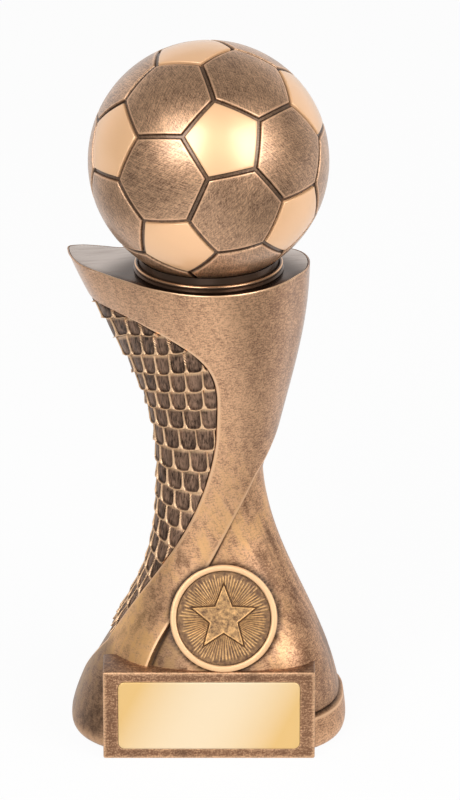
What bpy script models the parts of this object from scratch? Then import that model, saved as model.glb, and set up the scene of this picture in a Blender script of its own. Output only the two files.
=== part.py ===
"""Football trophy: a panelled ball on a twisted bronze tower, with a medallion and an engraving plate.

One object is made for each piece. The frame has +Z up, +X to the viewer's right and the front at -Y,
with the origin on the table under the ball. Sizes are in millimetres until a mesh is made.
"""

import math

import bmesh
import bpy
import numpy as np
from mathutils import Euler, Matrix, Vector

MM = 0.001

# Fits between pieces
GAP = 0.3
GLUE_LINE = 0.4
CUTTER_PAST = 6.0
LIP_ROUND = 0.4
SLIVER = 0.02

# Ball
BALL_RADIUS = 31.3
BALL_TILT = (-0.4, -66.7, -4.5)
BALL_SINK = 1.8
SEAM_WIDTH = 1.3
SEAM_DEPTH = 0.9
SEAM_LEAN = 0.2
INLAY_DEPTH = 1.8
PANEL_SEGMENTS = 2
PENTAGON_SIDES = 5
WELD_DIGITS = 4

# Tower
TOWER_FLOOR = 0.5
WAIST_HEIGHT = 74.0
CUP_HEIGHT = 129.9
BAND_PROUD = 1.5
RIM_PROUD = 0.9
RIM_FADE = 20.0
FOOT_RIGHT = 35.8
FOOT_LEFT = 36.5
FOOT_FRONT = 26.5
FOOT_BACK = 25.0
WAIST_RIGHT = 14.25
WAIST_LEFT = 12.55
WAIST_FRONT = 10.2
WAIST_BACK = 10.4
SECTION_POWER = 2.1
FOOT_SQUARE = 0.57
FOOT_SQUARE_HEIGHT = 12.0
SHOULDER_POWER = 1.47
SHOULDER_HEIGHT = 26.0
SHOULDER_SPREAD = 10.0
FOOT_ROUND = 3.6
FOOT_ROUND_IN = 2.0

# Flare of the tower: the first power shapes the waist's end, the second the far end
FOOT_FLARE_RIGHT = (1.45, 1.64)
FOOT_FLARE_LEFT = (2.5, 1.3)
FOOT_FLARE_FRONT = (2.2, 2.42)
FOOT_FLARE_BACK = (1.9, 1.48)
CUP_FLARE_RIGHT = (0.91, 1.84)
CUP_FLARE_LEFT = (1.93, 1.0)
EASE_END = 1e-6

# Plan outline of the cup's rim: angle from the right, going round by the back, and share of the radius
CUP_RADIUS = 22.0
CUP_OUTLINE = (
    (0, 1.182),
    (24, 1.255),
    (50, 1.073),
    (90, 0.982),
    (125, 1.055),
    (146, 1.270),
    (149, 1.490),
    (152, 1.720),
    (156, 1.850),
    (160, 1.800),
    (172, 1.605),
    (193, 1.245),
    (214, 1.064),
    (245, 0.991),
    (275, 1.005),
    (309, 1.018),
    (340, 1.077),
)

# The band winds round the tower: its lower edge climbs by the front to the right and round the back
FOOT_RIM = 9.5
LOWER_EDGE_ANGLE = 230.3
LOWER_EDGE_PITCH = 135.0
LOWER_EDGE_BEND = 36.8
LOWER_EDGE_SOFT = 5.7
RIM_BAND = 10.4
EDGE_WALL = 0.6
STEP_WALL = 0.35

# Its upper edge leaves the foot rim at the left, bounds the scales at the front and turns back to the tip
UPPER_EDGE_START = 165.0
UPPER_EDGE_LEFT = 191.0
UPPER_EDGE_FRONT = 279.0
UPPER_EDGE_END = 170.0
UPPER_EDGE_CURL = 4
SCALES_FOOT = 26.0
SCALES_BEND = 88.0

# Scale panel
SCALES_REAR = 166.0
SCALE_PITCH = 5.5
SCALE_CELLS = 8
SCALE_ROOT = 0.45
SCALE_TIP = 1.1
SCALE_RIDGE = 0.45
SCALE_LIP = 0.3
SCALES_END = 1.5

# Deck, collar and tie rod
CUP_RIM = 1.2
DECK_THICKNESS = 3.2
DECK_TAPER = 2.0
DECK_BELOW_RIM = 0.3
COLLAR_RADIUS = 19.6
COLLAR_RISE = 1.9
COLLAR_LIP = 1.1
COLLAR_SPIGOT = 12.0
COLLAR_FLOOR = 1.8
ROD_RADIUS = 3.0
ROD_IN_BALL = 18.0
ROD_END = 2.2
WASHER_RADIUS = 6.5
WASHER_THICKNESS = 1.2
NUT_SIDES = 6
NUT_FLATS = 10.0
NUT_HEIGHT = 5.0
NUT_POCKET_RADIUS = 8.0

# Base pad
PAD_THICKNESS = 1.2
PAD_HALF_WIDTH = 29.0
PAD_FRONT = 10.0
PAD_BACK = 21.0

# Plinth and engraving plate
PLINTH_WIDTH = 56.0
PLINTH_HEIGHT = 24.9
PLINTH_FLOOR = 0.1
PLINTH_FRONT = 25.0
PLINTH_DEPTH = 12.5
PLINTH_EDGE = 0.6
PLATE_POCKET = 1.5
PLATE_WIDTH = 48.0
PLATE_HEIGHT = 19.2
PLATE_THICKNESS = 0.7
PLATE_CORNER = 1.7
ADHESIVE_THICKNESS = 0.4
ADHESIVE_INSET = 1.0
DOWEL_RADIUS = 1.5
DOWEL_LENGTH = 12.0
DOWEL_SPACING = 34.0
DOWEL_HEIGHT = 13.0

# Medallion, its face square to a view from a little above
MEDAL_RADIUS = 14.15
MEDAL_DEPTH = 5.0
MEDAL_X = 3.9
MEDAL_TILT = 23.3
MEDAL_SETBACK = 5.3
DISC_RADIUS = 12.5
DISC_THICKNESS = 1.0
DISC_BELOW_LIP = 0.8
STAR_RADIUS = 9.0
STAR_WAIST = 4.0
STAR_RISE = 0.7
STAR_STEP = 0.2

# Facets; holes on one axis start at different angles, so that no two of their edges line up
BORE_START = 3.7
POCKET_START = 7.3
ROUND_SEGMENTS = 32
SMALL_SEGMENTS = 20
BAND_COLUMNS = 26
RECESS_COLUMNS = 26
TOWER_ROWS = 29
END_ROWS = 4
LEVEL_CROWDING = 1.6
SCALE_LEVELS = 3
OUTLINE_POINTS = 64
STAR_POINTS = 5
STAR_FACETS = 8
CORNER_POINTS = 5
EDGE_SEGMENTS = 2
DISH_POINTS = 5
SMOOTH_ANGLE = math.radians(35)

# Heights and places that follow from the sizes above
DECK_TOP = CUP_HEIGHT - DECK_BELOW_RIM
DECK_FLOOR = DECK_TOP - DECK_THICKNESS
BALL_HEIGHT = DECK_TOP - BALL_SINK + BALL_RADIUS
COLLAR_BASE = BALL_HEIGHT - BALL_RADIUS - GAP - COLLAR_FLOOR
RECESS_TOP = CUP_HEIGHT - RIM_BAND
ROD_HOLE = ROD_RADIUS + GAP
PAD_RECESS_TOP = PAD_THICKNESS + GAP
NUT_BASE = ROD_END + GLUE_LINE
WASHER_BASE = NUT_BASE + NUT_HEIGHT + GAP
NUT_POCKET_TOP = WASHER_BASE + WASHER_THICKNESS + GAP
PLINTH_TOP = PLINTH_FLOOR + PLINTH_HEIGHT
PLINTH_MIDDLE = PLINTH_FLOOR + PLINTH_HEIGHT / 2
POCKET_FLOOR = -PLINTH_FRONT + PLATE_POCKET
MEDAL_LEAN = math.radians(MEDAL_TILT)
MEDAL_HEIGHT = PLINTH_TOP + GAP + MEDAL_RADIUS * math.cos(MEDAL_LEAN)


def clear_scene():
    """Takes away whatever the file opened with."""
    for old in list(bpy.data.objects):
        bpy.data.objects.remove(old, do_unlink=True)


def finish(name, colour, roughness, metallic):
    """A plain Principled material."""
    made = bpy.data.materials.new(name)
    made.use_nodes = True
    shader = made.node_tree.nodes["Principled BSDF"]
    shader.inputs["Base Color"].default_value = (*colour, 1.0)
    shader.inputs["Roughness"].default_value = roughness
    shader.inputs["Metallic"].default_value = metallic
    return made


def make_piece(name, points, faces, material):
    """One closed piece from points in millimetres, with its normals turned outwards."""
    mesh = bpy.data.meshes.new(name)
    scaled = np.asarray(points, float) * MM
    mesh.from_pydata(scaled.tolist(), [], [list(map(int, face)) for face in faces])
    work = bmesh.new()
    work.from_mesh(mesh)
    bmesh.ops.recalc_face_normals(work, faces=work.faces)
    work.to_mesh(mesh)
    work.free()
    mesh.materials.append(material)
    mesh.shade_smooth()
    mesh.set_sharp_from_angle(angle=SMOOTH_ANGLE)
    piece = bpy.data.objects.new(name, mesh)
    bpy.context.scene.collection.objects.link(piece)
    return piece


def make_cutter(name, points, faces):
    """A closed helper that only shapes other pieces."""
    piece = make_piece(name, points, faces, FINISH["steel"])
    piece.hide_render = True
    piece.display_type = "WIRE"
    return piece


def cut(piece, *cutters):
    """Takes each cutter's volume out of the piece, then closes slivers where two edges nearly meet."""
    for cutter in cutters:
        change = piece.modifiers.new(cutter.name, "BOOLEAN")
        change.operation = "DIFFERENCE"
        change.solver = "EXACT"
        change.object = cutter
    heal = piece.modifiers.new("slivers", "WELD")
    heal.merge_threshold = SLIVER * MM


def place(piece, matrix):
    """Turns and moves a piece that was made about its own origin; the move is in millimetres."""
    moved = matrix.copy()
    moved.translation = moved.translation * MM
    piece.matrix_world = moved
    return piece


def ring_faces(rings, columns, closed):
    """Triangles between neighbouring rings, each quad split along its shorter diagonal."""
    count = len(rings)
    points = np.concatenate(rings)
    faces = []
    for row in range(count if closed else count - 1):
        below = row * columns
        above = (row + 1) % count * columns
        for column in range(columns):
            following = (column + 1) % columns
            a, b = below + column, below + following
            c, d = above + following, above + column
            if np.linalg.norm(points[a] - points[c]) <= np.linalg.norm(points[b] - points[d]):
                faces += [(a, b, c), (a, c, d)]
            else:
                faces += [(a, b, d), (b, c, d)]
    return points, faces


def loft(rings):
    """A closed solid over rings of equal count, with a fan to the middle of each end."""
    columns = len(rings[0])
    points, faces = ring_faces(rings, columns, closed=False)
    last = len(points) - columns
    points = np.vstack([points, rings[0].mean(axis=0), rings[-1].mean(axis=0)])
    for column in range(columns):
        following = (column + 1) % columns
        faces.append((following, column, len(points) - 2))
        faces.append((last + column, last + following, len(points) - 1))
    return points, faces


def circles(profile, segments, start=0.0):
    """One ring of points about Z for each (radius, height) of the profile."""
    angles = math.radians(start) + np.linspace(0, 2 * np.pi, segments, endpoint=False)
    circle = np.column_stack([np.cos(angles), np.sin(angles), np.zeros(segments)])
    return [circle * radius + (0, 0, height) for radius, height in profile]


def turned_ring(profile, segments=ROUND_SEGMENTS):
    """A ring about Z from a closed (radius, height) profile that stays off the axis."""
    return ring_faces(circles(profile, segments), segments, closed=True)


def cylinder(radius, low, high, segments=SMALL_SEGMENTS, start=0.0):
    """A round bar along Z, with its first corner at the start angle."""
    return loft(circles([(radius, low), (radius, high)], segments, start))


def prism(outline, low, high):
    """An outline in plan raised from one height to another."""
    flat = np.column_stack([outline, np.zeros(len(outline))])
    return loft([flat + (0, 0, low), flat + (0, 0, high)])


def rounded_rectangle(width, height, corner):
    """Corner arcs joined by straight sides, counter-clockwise about the middle."""
    points = []
    for quarter in range(4):
        start = quarter * math.pi / 2
        side_x = 1 if quarter in (0, 3) else -1
        side_y = 1 if quarter in (0, 1) else -1
        centre = (side_x * (width / 2 - corner), side_y * (height / 2 - corner))
        for angle in np.linspace(start, start + math.pi / 2, CORNER_POINTS):
            points.append((centre[0] + corner * math.cos(angle), centre[1] + corner * math.sin(angle)))
    return np.array(points)


def ease(share, near, far):
    """Runs from 0 to 1, with its two ends bent by two powers."""
    share = np.clip(share, EASE_END, 1 - EASE_END)
    rise = share**near
    return rise / (rise + (1 - share) ** far)


def cup_radius(angle):
    """Radius of the cup's rim: a smooth closed curve through the outline's points, with no overshoot."""
    turn = np.array([point[0] for point in CUP_OUTLINE], float)
    reach = CUP_RADIUS * np.array([point[1] for point in CUP_OUTLINE], float)
    turn = np.concatenate([turn[-2:] - 360, turn, turn[:3] + 360])
    reach = np.concatenate([reach[-2:], reach, reach[:3]])
    step = np.diff(turn)
    slope = np.diff(reach) / step
    before, after = slope[:-1], slope[1:]
    same_way = before * after > 0
    product = np.where(same_way, before * after, 0.0)
    total = np.where(same_way, before + after, 1.0)
    tangent = np.concatenate([[0.0], 2 * product / total, [0.0]])
    degrees = np.mod(np.degrees(angle), 360)
    place_in = np.clip(np.searchsorted(turn, degrees, side="right") - 1, 1, len(turn) - 3)
    width = turn[place_in + 1] - turn[place_in]
    t = (degrees - turn[place_in]) / width
    start, end = reach[place_in], reach[place_in + 1]
    bend_in, bend_out = tangent[place_in] * width, tangent[place_in + 1] * width
    smooth = t * t * (3 - 2 * t)
    return start + (end - start) * smooth + t * (1 - t) * ((1 - t) * bend_in - t * bend_out)


def section_radius(angle, right, left, front, back, square=0.0, shoulder=0.0):
    """Radius of an oval whose four half-widths differ, squarer by one power and more at its front right."""
    across, along = np.cos(angle), np.sin(angle)
    half_width = np.where(across > 0, right, left)
    half_depth = np.where(along > 0, back, front)
    power = SECTION_POWER + square + np.where((across > 0) & (along < 0), shoulder, 0.0)
    total = np.abs(across / half_width) ** power + np.abs(along / half_depth) ** power
    return total ** (-1 / power)


def core_radius(angle, height):
    """The tower under its band: an oval foot drawn in to the waist, then opened out to the cup."""
    angle, height = np.broadcast_arrays(np.asarray(angle, float), np.asarray(height, float))
    down = (WAIST_HEIGHT - height) / WAIST_HEIGHT
    right = WAIST_RIGHT + (FOOT_RIGHT - WAIST_RIGHT) * ease(down, *FOOT_FLARE_RIGHT)
    left = WAIST_LEFT + (FOOT_LEFT - WAIST_LEFT) * ease(down, *FOOT_FLARE_LEFT)
    front = WAIST_FRONT + (FOOT_FRONT - WAIST_FRONT) * ease(down, *FOOT_FLARE_FRONT)
    back = WAIST_BACK + (FOOT_BACK - WAIST_BACK) * ease(down, *FOOT_FLARE_BACK)
    square = FOOT_SQUARE * np.exp(-((height / FOOT_SQUARE_HEIGHT) ** 2))
    shoulder = SHOULDER_POWER * np.exp(-(((height - SHOULDER_HEIGHT) / SHOULDER_SPREAD) ** 2))
    foot = section_radius(angle, right, left, front, back, square, shoulder)
    waist = section_radius(angle, WAIST_RIGHT, WAIST_LEFT, WAIST_FRONT, WAIST_BACK)
    rightness = (1 + np.cos(angle)) / 2
    near = CUP_FLARE_LEFT[0] + (CUP_FLARE_RIGHT[0] - CUP_FLARE_LEFT[0]) * rightness
    far = CUP_FLARE_LEFT[1] + (CUP_FLARE_RIGHT[1] - CUP_FLARE_LEFT[1]) * rightness
    up = (height - WAIST_HEIGHT) / (CUP_HEIGHT - WAIST_HEIGHT)
    cup = waist + (cup_radius(angle) - BAND_PROUD - waist) * ease(up, near, far)
    return np.where(height < WAIST_HEIGHT, foot, cup)


def lower_edge(height):
    """Angle of the band's lower edge: slow up from the foot, then a steady climb round the tower."""
    lift = LOWER_EDGE_SOFT * math.log1p(math.exp((height - LOWER_EDGE_BEND) / LOWER_EDGE_SOFT))
    return math.radians(LOWER_EDGE_ANGLE) + 2 * math.pi * lift / LOWER_EDGE_PITCH


def upper_edge(height):
    """Angle of the band's upper edge: up the left side, forward over the front, then back to the tip."""
    if height < SCALES_FOOT:
        share = (height - FOOT_RIM) / (SCALES_FOOT - FOOT_RIM)
        angle = UPPER_EDGE_START + (UPPER_EDGE_LEFT - UPPER_EDGE_START) * share
    elif height < SCALES_BEND:
        share = (height - SCALES_FOOT) / (SCALES_BEND - SCALES_FOOT)
        sway = (1 - math.cos(math.pi * share)) / 2
        angle = UPPER_EDGE_LEFT + (UPPER_EDGE_FRONT - UPPER_EDGE_LEFT) * sway
    else:
        share = (height - SCALES_BEND) / (RECESS_TOP - SCALES_BEND)
        angle = UPPER_EDGE_END + (UPPER_EDGE_FRONT - UPPER_EDGE_END) * math.sqrt(1 - share**UPPER_EDGE_CURL)
    return math.radians(angle + 360)


def polar_ring(angles, radii, height):
    """Points at one height from angles and radii."""
    return np.column_stack([radii * np.cos(angles), radii * np.sin(angles), np.full(len(angles), height)])


def recess_levels():
    """Heights of the recess's levels, closer together near the top, where its edge turns back fastest."""
    low, high = FOOT_RIM + STEP_WALL, RECESS_TOP - STEP_WALL
    left = np.linspace(1, 0, TOWER_ROWS) ** LEVEL_CROWDING
    return high - (high - low) * left


def band_height(height):
    """How far the band stands proud: least at the foot rim, and all its height above the fade."""
    share = min(max((height - FOOT_RIM) / RIM_FADE, 0.0), 1.0)
    return RIM_PROUD + (BAND_PROUD - RIM_PROUD) * share * share * (3 - 2 * share)


def tower_ring(height, proud_all, pull_in=0.0):
    """One level of the tower: the recess's columns, then the band's, both tied to the band's edges."""
    level = min(max(height, FOOT_RIM + STEP_WALL), RECESS_TOP - STEP_WALL)
    start, end = lower_edge(level), upper_edge(level)
    foot_start = start + EDGE_WALL / core_radius(start, level)
    foot_end = end - EDGE_WALL / core_radius(end, level)
    recess = np.linspace(foot_start, foot_end, RECESS_COLUMNS)
    band = np.linspace(end, start + 2 * math.pi, BAND_COLUMNS)
    angles = np.concatenate([recess, band])
    proud = np.full(len(angles), band_height(height))
    if not proud_all:
        proud[:RECESS_COLUMNS] = 0.0
    return polar_ring(angles, core_radius(angles, height) + proud - pull_in, height)


def tower_rings():
    """Every level of the tower, from its rounded foot edge to the cup's rim."""
    rings = []
    for turn in np.linspace(0, math.pi / 2, END_ROWS):
        height = TOWER_FLOOR + FOOT_ROUND * (1 - math.cos(turn))
        rings.append(tower_ring(height, True, FOOT_ROUND_IN * (1 - math.sin(turn))))
    rings.append(tower_ring(FOOT_RIM, True))
    for height in recess_levels():
        rings.append(tower_ring(height, False))
    for height in np.linspace(RECESS_TOP, CUP_HEIGHT, END_ROWS):
        rings.append(tower_ring(height, True))
    return rings


def cup_inset(distance, height):
    """The cup's rim outline at a height, moved inwards by the same distance all round."""
    angles = np.linspace(0, 2 * np.pi, OUTLINE_POINTS, endpoint=False)
    outline = polar_ring(angles, cup_radius(angles), height)
    along = np.roll(outline, -1, axis=0) - np.roll(outline, 1, axis=0)
    along /= np.linalg.norm(along, axis=1)[:, None]
    inwards = np.column_stack([-along[:, 1], along[:, 0], np.zeros(OUTLINE_POINTS)])
    return outline + inwards * distance


def pad_outline(grow):
    """The felt's oval, behind the plinth."""
    angles = np.linspace(0, 2 * np.pi, OUTLINE_POINTS // 2, endpoint=False)
    radii = section_radius(angles, PAD_HALF_WIDTH, PAD_HALF_WIDTH, PAD_FRONT, PAD_BACK)
    return polar_ring(angles, radii + grow, 0.0)[:, :2]


def scale_panel_rings():
    """Shingle rows from the top down: each leans out to its lower edge, with staggered upright ridges."""
    low, high = SCALES_FOOT + SCALES_END, RECESS_TOP - STEP_WALL - SCALES_END
    levels = recess_levels()
    bounds = [upper_edge(level) - 2 * math.pi for level in levels]
    rows = round((high - low) / SCALE_PITCH)
    pitch = (high - low) / rows
    columns = 2 * SCALE_CELLS + 1
    rings = []
    for row in range(rows):
        for lean in np.linspace(0, 1, SCALE_LEVELS):
            height = high - pitch * row - (pitch - SCALE_LIP) * lean
            nearby = height + GLUE_LINE * np.array([-1, 0, 1])
            edge = np.interp(nearby, levels, bounds).min()
            rear = math.radians(SCALES_REAR)
            edge -= (EDGE_WALL + GLUE_LINE) / core_radius(edge, height)
            angles = np.linspace(rear, edge, columns)
            under = core_radius(angles, height) + GLUE_LINE
            ridge = np.where((np.arange(columns) + row) % 2 == 0, SCALE_RIDGE, 0.0)
            over = under + SCALE_ROOT + (SCALE_TIP - SCALE_ROOT + ridge) * lean
            outer = polar_ring(angles, over, height)
            inner = polar_ring(angles[::-1], under[::-1], height)
            rings.append(np.vstack([outer, inner]))
    return rings


def strip_caps(rings):
    """A loft whose rings run out along its face and home along its back, with strips over both ends."""
    columns = len(rings[0])
    points, faces = ring_faces(rings, columns, closed=False)
    last = len(points) - columns
    for column in range(columns // 2 - 1):
        back = columns - 1 - column
        faces += [(column + 1, column, back), (column + 1, back, back - 1)]
        faces += [
            (last + column, last + column + 1, last + back),
            (last + column + 1, last + back - 1, last + back),
        ]
    return points, faces


def icosahedron():
    """The twelve corner directions, with the neighbours of each."""
    golden = (1 + math.sqrt(5)) / 2
    corners = []
    for first in (-1, 1):
        for second in (-golden, golden):
            corners += [(0, first, second), (first, second, 0), (second, 0, first)]
    corners = [Vector(corner).normalized() for corner in corners]
    near = []
    for corner in corners:
        by_distance = sorted(range(len(corners)), key=lambda other: (corners[other] - corner).length)
        near.append(by_distance[1 : PENTAGON_SIDES + 1])
    return corners, near


def around(middle, directions):
    """The directions put in order about the middle."""
    side = middle.orthogonal().normalized()
    other = middle.cross(side)
    return sorted(directions, key=lambda way: math.atan2(way.dot(other), way.dot(side)))


def ball_panels():
    """(middle, corners) of the twelve pentagons and then the twenty hexagons."""
    corners, near = icosahedron()
    count = len(corners)
    third = {}
    for i in range(count):
        for j in near[i]:
            third[i, j] = (corners[i] * 2 + corners[j]).normalized()
    panels = [(corners[i], around(corners[i], [third[i, j] for j in near[i]])) for i in range(count)]
    for i in range(count):
        for j in near[i]:
            for k in near[i]:
                if i < j < k and k in near[j]:
                    middle = (corners[i] + corners[j] + corners[k]).normalized()
                    ways = [third[a, b] for a in (i, j, k) for b in (i, j, k) if a != b]
                    panels.append((middle, around(middle, ways)))
    return panels


def panel_ring(middle, corners, inset, radius):
    """The panel's outline on a sphere, moved in from its edges by a distance."""
    count = len(corners)
    apothem = (middle - (corners[0] + corners[1]).normalized()).length * BALL_RADIUS
    keep = 1 - inset / apothem
    ring = []
    for index in range(count):
        start, end = corners[index], corners[(index + 1) % count]
        for step in range(PANEL_SEGMENTS):
            edge = start.lerp(end, step / PANEL_SEGMENTS).normalized()
            ring.append(middle.lerp(edge, keep).normalized() * radius)
    return ring


def ball_piece(panels, plain_panel):
    """The ball: raised hexagons, sunk seams, and a pocket under each pentagon but the rod's."""
    index_of = {}
    points = []
    faces = []

    def number(point):
        key = tuple(round(value, WELD_DIGITS) for value in point)
        if key not in index_of:
            index_of[key] = len(points)
            points.append(tuple(point))
        return index_of[key]

    seam = SEAM_WIDTH / 2
    floor = BALL_RADIUS - SEAM_DEPTH
    for index, (middle, corners) in enumerate(panels):
        raised = len(corners) != PENTAGON_SIDES or index == plain_panel
        top = BALL_RADIUS if raised else BALL_RADIUS - INLAY_DEPTH
        half = max((middle - corner).length for corner in corners) * BALL_RADIUS / 2
        levels = [(0.0, floor), (seam - SEAM_LEAN, floor), (seam, top), (half, top)]
        rings = [[number(p) for p in panel_ring(middle, corners, *level)] for level in levels]
        hub = number(middle * top)
        for outer, inner in zip(rings, rings[1:]):
            for step in range(len(outer)):
                following = (step + 1) % len(outer)
                faces.append((outer[step], outer[following], inner[following], inner[step]))
        for step in range(len(rings[-1])):
            faces.append((rings[-1][step], rings[-1][(step + 1) % len(rings[-1])], hub))
    return points, faces


def inlay_piece(middle, corners):
    """One polished pentagon: a curved tile that fills its pocket up to the ball's own surface."""
    side = SEAM_WIDTH / 2 + GAP
    half = (middle - corners[0]).length * BALL_RADIUS / 2
    under = BALL_RADIUS - INLAY_DEPTH + GAP
    levels = [(half, under), (side, under), (side, BALL_RADIUS), (half, BALL_RADIUS)]
    rings = [np.array(panel_ring(middle, corners, *level)) for level in levels]
    points, faces = ring_faces(rings, len(rings[0]), closed=False)
    columns = len(rings[0])
    last = len(points) - columns
    points = np.vstack([points, np.array(middle) * under, np.array(middle) * BALL_RADIUS])
    for column in range(columns):
        following = (column + 1) % columns
        faces.append((following, column, len(points) - 2))
        faces.append((last + column, last + following, len(points) - 1))
    return points, faces


def dish_height(reach):
    """Height of the ball's underside, grown by the gap, at a distance from its axis."""
    return BALL_HEIGHT - math.sqrt((BALL_RADIUS + GAP) ** 2 - reach**2)


def collar_profile():
    """The collar's closed section: a dish under the ball, a shoulder with a raised lip, and a spigot."""
    top = DECK_TOP + COLLAR_RISE
    hug = math.sqrt((BALL_RADIUS + GAP) ** 2 - (BALL_HEIGHT - top + COLLAR_LIP / 2) ** 2)
    dish = [(reach, dish_height(reach)) for reach in np.linspace(hug, ROD_HOLE, DISH_POINTS)]
    foot = DECK_TOP + GAP
    lip_inner = COLLAR_RADIUS - COLLAR_LIP
    return [
        *dish,
        (ROD_HOLE, COLLAR_BASE),
        (COLLAR_SPIGOT - GAP, COLLAR_BASE),
        (COLLAR_SPIGOT - GAP, foot),
        (COLLAR_RADIUS, foot),
        (COLLAR_RADIUS, top - LIP_ROUND),
        (COLLAR_RADIUS - LIP_ROUND, top),
        (lip_inner + LIP_ROUND, top),
        (lip_inner, top - COLLAR_LIP / 2),
    ]


def star_disc():
    """The insert: a round plate with a faceted five-pointed star standing on it, point up."""
    columns = STAR_POINTS * STAR_FACETS
    angles = np.pi / 2 + np.linspace(0, 2 * np.pi, columns, endpoint=False)
    sector = np.pi / STAR_POINTS
    within = np.abs(np.mod(angles - np.pi / 2 + sector, 2 * sector) - sector)
    corner = STAR_WAIST * np.array([math.cos(sector), math.sin(sector)])
    slope = (STAR_RADIUS - corner[0]) / corner[1]
    star = STAR_RADIUS / (np.cos(within) + slope * np.sin(within))
    edge = np.full(columns, DISC_RADIUS - GAP)
    face = DISC_THICKNESS
    rings = [
        polar_ring(angles, edge, 0.0),
        polar_ring(angles, edge, face),
        polar_ring(angles, star, face),
        polar_ring(angles, star - STAR_STEP / 2, face + STAR_STEP),
    ]
    points, faces = loft(rings)
    points[-1] = (0, 0, face + STAR_RISE)
    return points, faces


def medal_profile():
    """The medallion's cup, from the middle of its back round the rim to the middle of its floor."""
    floor = -(DISC_BELOW_LIP + DISC_THICKNESS + GAP + ADHESIVE_THICKNESS + GAP)
    return [
        (DISC_RADIUS / 2, -MEDAL_DEPTH),
        (MEDAL_RADIUS, -MEDAL_DEPTH),
        (MEDAL_RADIUS, -LIP_ROUND),
        (MEDAL_RADIUS - LIP_ROUND, 0.0),
        (DISC_RADIUS + LIP_ROUND, 0.0),
        (DISC_RADIUS, -LIP_ROUND),
        (DISC_RADIUS, floor),
        (DISC_RADIUS / 2, floor),
    ]


def medal_frame(ahead=0.0):
    """The medallion's place: its local +Z points out of its face."""
    forward = -PLINTH_FRONT + MEDAL_SETBACK
    face = Vector((0, -math.cos(MEDAL_LEAN), math.sin(MEDAL_LEAN)))
    turn = Euler((math.pi / 2 - MEDAL_LEAN, 0, 0)).to_matrix().to_4x4()
    return Matrix.Translation(Vector((MEDAL_X, forward, MEDAL_HEIGHT)) + face * ahead) @ turn


def facing_front(front, height):
    """Stands a piece drawn in plan up against the plinth: its local +Z points to the front."""
    return Matrix.Translation((0, front, height)) @ Euler((math.pi / 2, 0, 0)).to_matrix().to_4x4()


def plinth_box(grow, front):
    """The plinth's block, grown all round for its pocket, reaching to a given front."""
    back = -PLINTH_FRONT + PLINTH_DEPTH + grow
    side = PLINTH_WIDTH / 2 + grow
    return np.array([(-side, -front), (side, -front), (side, back), (-side, back)])


def build_ball():
    """The ball with its rod socket, and the polished pentagons let into it."""
    turn = Euler([math.radians(angle) for angle in BALL_TILT]).to_matrix()
    panels = [(turn @ middle, [turn @ corner for corner in corners]) for middle, corners in ball_panels()]
    pentagons = [panel for panel in panels if len(panel[1]) == PENTAGON_SIDES]
    plain = min(range(len(pentagons)), key=lambda index: pentagons[index][0].z)
    seat = Matrix.Translation((0, 0, BALL_HEIGHT))
    ball = place(make_piece("ball_shell", *ball_piece(panels, plain), FINISH["bronze"]), seat)
    socket_top = BALL_HEIGHT - BALL_RADIUS + ROD_IN_BALL + GAP
    socket = cylinder(ROD_HOLE, BALL_HEIGHT - BALL_RADIUS - CUTTER_PAST, socket_top)
    cut(ball, make_cutter("rod_socket_cutter", *socket))
    del pentagons[plain]
    for number, (middle, corners) in enumerate(pentagons, 1):
        tile = make_piece(f"pentagon_inlay_{number:02d}", *inlay_piece(middle, corners), FINISH["copper"])
        place(tile, seat)


def build_top():
    """The collar under the ball, and the lacquered deck that it stands in."""
    make_piece("seat_collar", *turned_ring(collar_profile()), FINISH["lacquer"])
    edge = CUP_RIM + GAP
    slab = loft([cup_inset(edge + DECK_TAPER, DECK_FLOOR), cup_inset(edge, DECK_TOP)])
    deck = make_piece("top_deck", *slab, FINISH["lacquer"])
    opening = cylinder(COLLAR_SPIGOT, DECK_FLOOR - CUTTER_PAST, DECK_TOP + CUTTER_PAST, ROUND_SEGMENTS)
    cut(deck, make_cutter("deck_opening_cutter", *opening))


def build_tie_rod():
    """The threaded rod that draws ball, collar, deck and tower together, with its washer and nut."""
    top = BALL_HEIGHT - BALL_RADIUS + ROD_IN_BALL
    make_piece("tie_rod", *cylinder(ROD_RADIUS, ROD_END, top), FINISH["steel"])
    washer = [
        (ROD_HOLE, WASHER_BASE),
        (WASHER_RADIUS, WASHER_BASE),
        (WASHER_RADIUS, WASHER_BASE + WASHER_THICKNESS),
        (ROD_HOLE, WASHER_BASE + WASHER_THICKNESS),
    ]
    make_piece("rod_washer", *turned_ring(washer, SMALL_SEGMENTS), FINISH["steel"])
    sides = np.linspace(0, 2 * np.pi, NUT_SIDES, endpoint=False)
    reach = NUT_FLATS / 2 / math.cos(math.pi / NUT_SIDES)
    hexagon = polar_ring(sides, np.full(NUT_SIDES, reach), 0.0)[:, :2]
    nut = make_piece("rod_nut", *prism(hexagon, NUT_BASE, NUT_BASE + NUT_HEIGHT), FINISH["steel"])
    low, high = NUT_BASE - CUTTER_PAST, NUT_BASE + NUT_HEIGHT + CUTTER_PAST
    bore = cylinder(ROD_HOLE, low, high, start=BORE_START)
    cut(nut, make_cutter("nut_bore_cutter", *bore))


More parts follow.
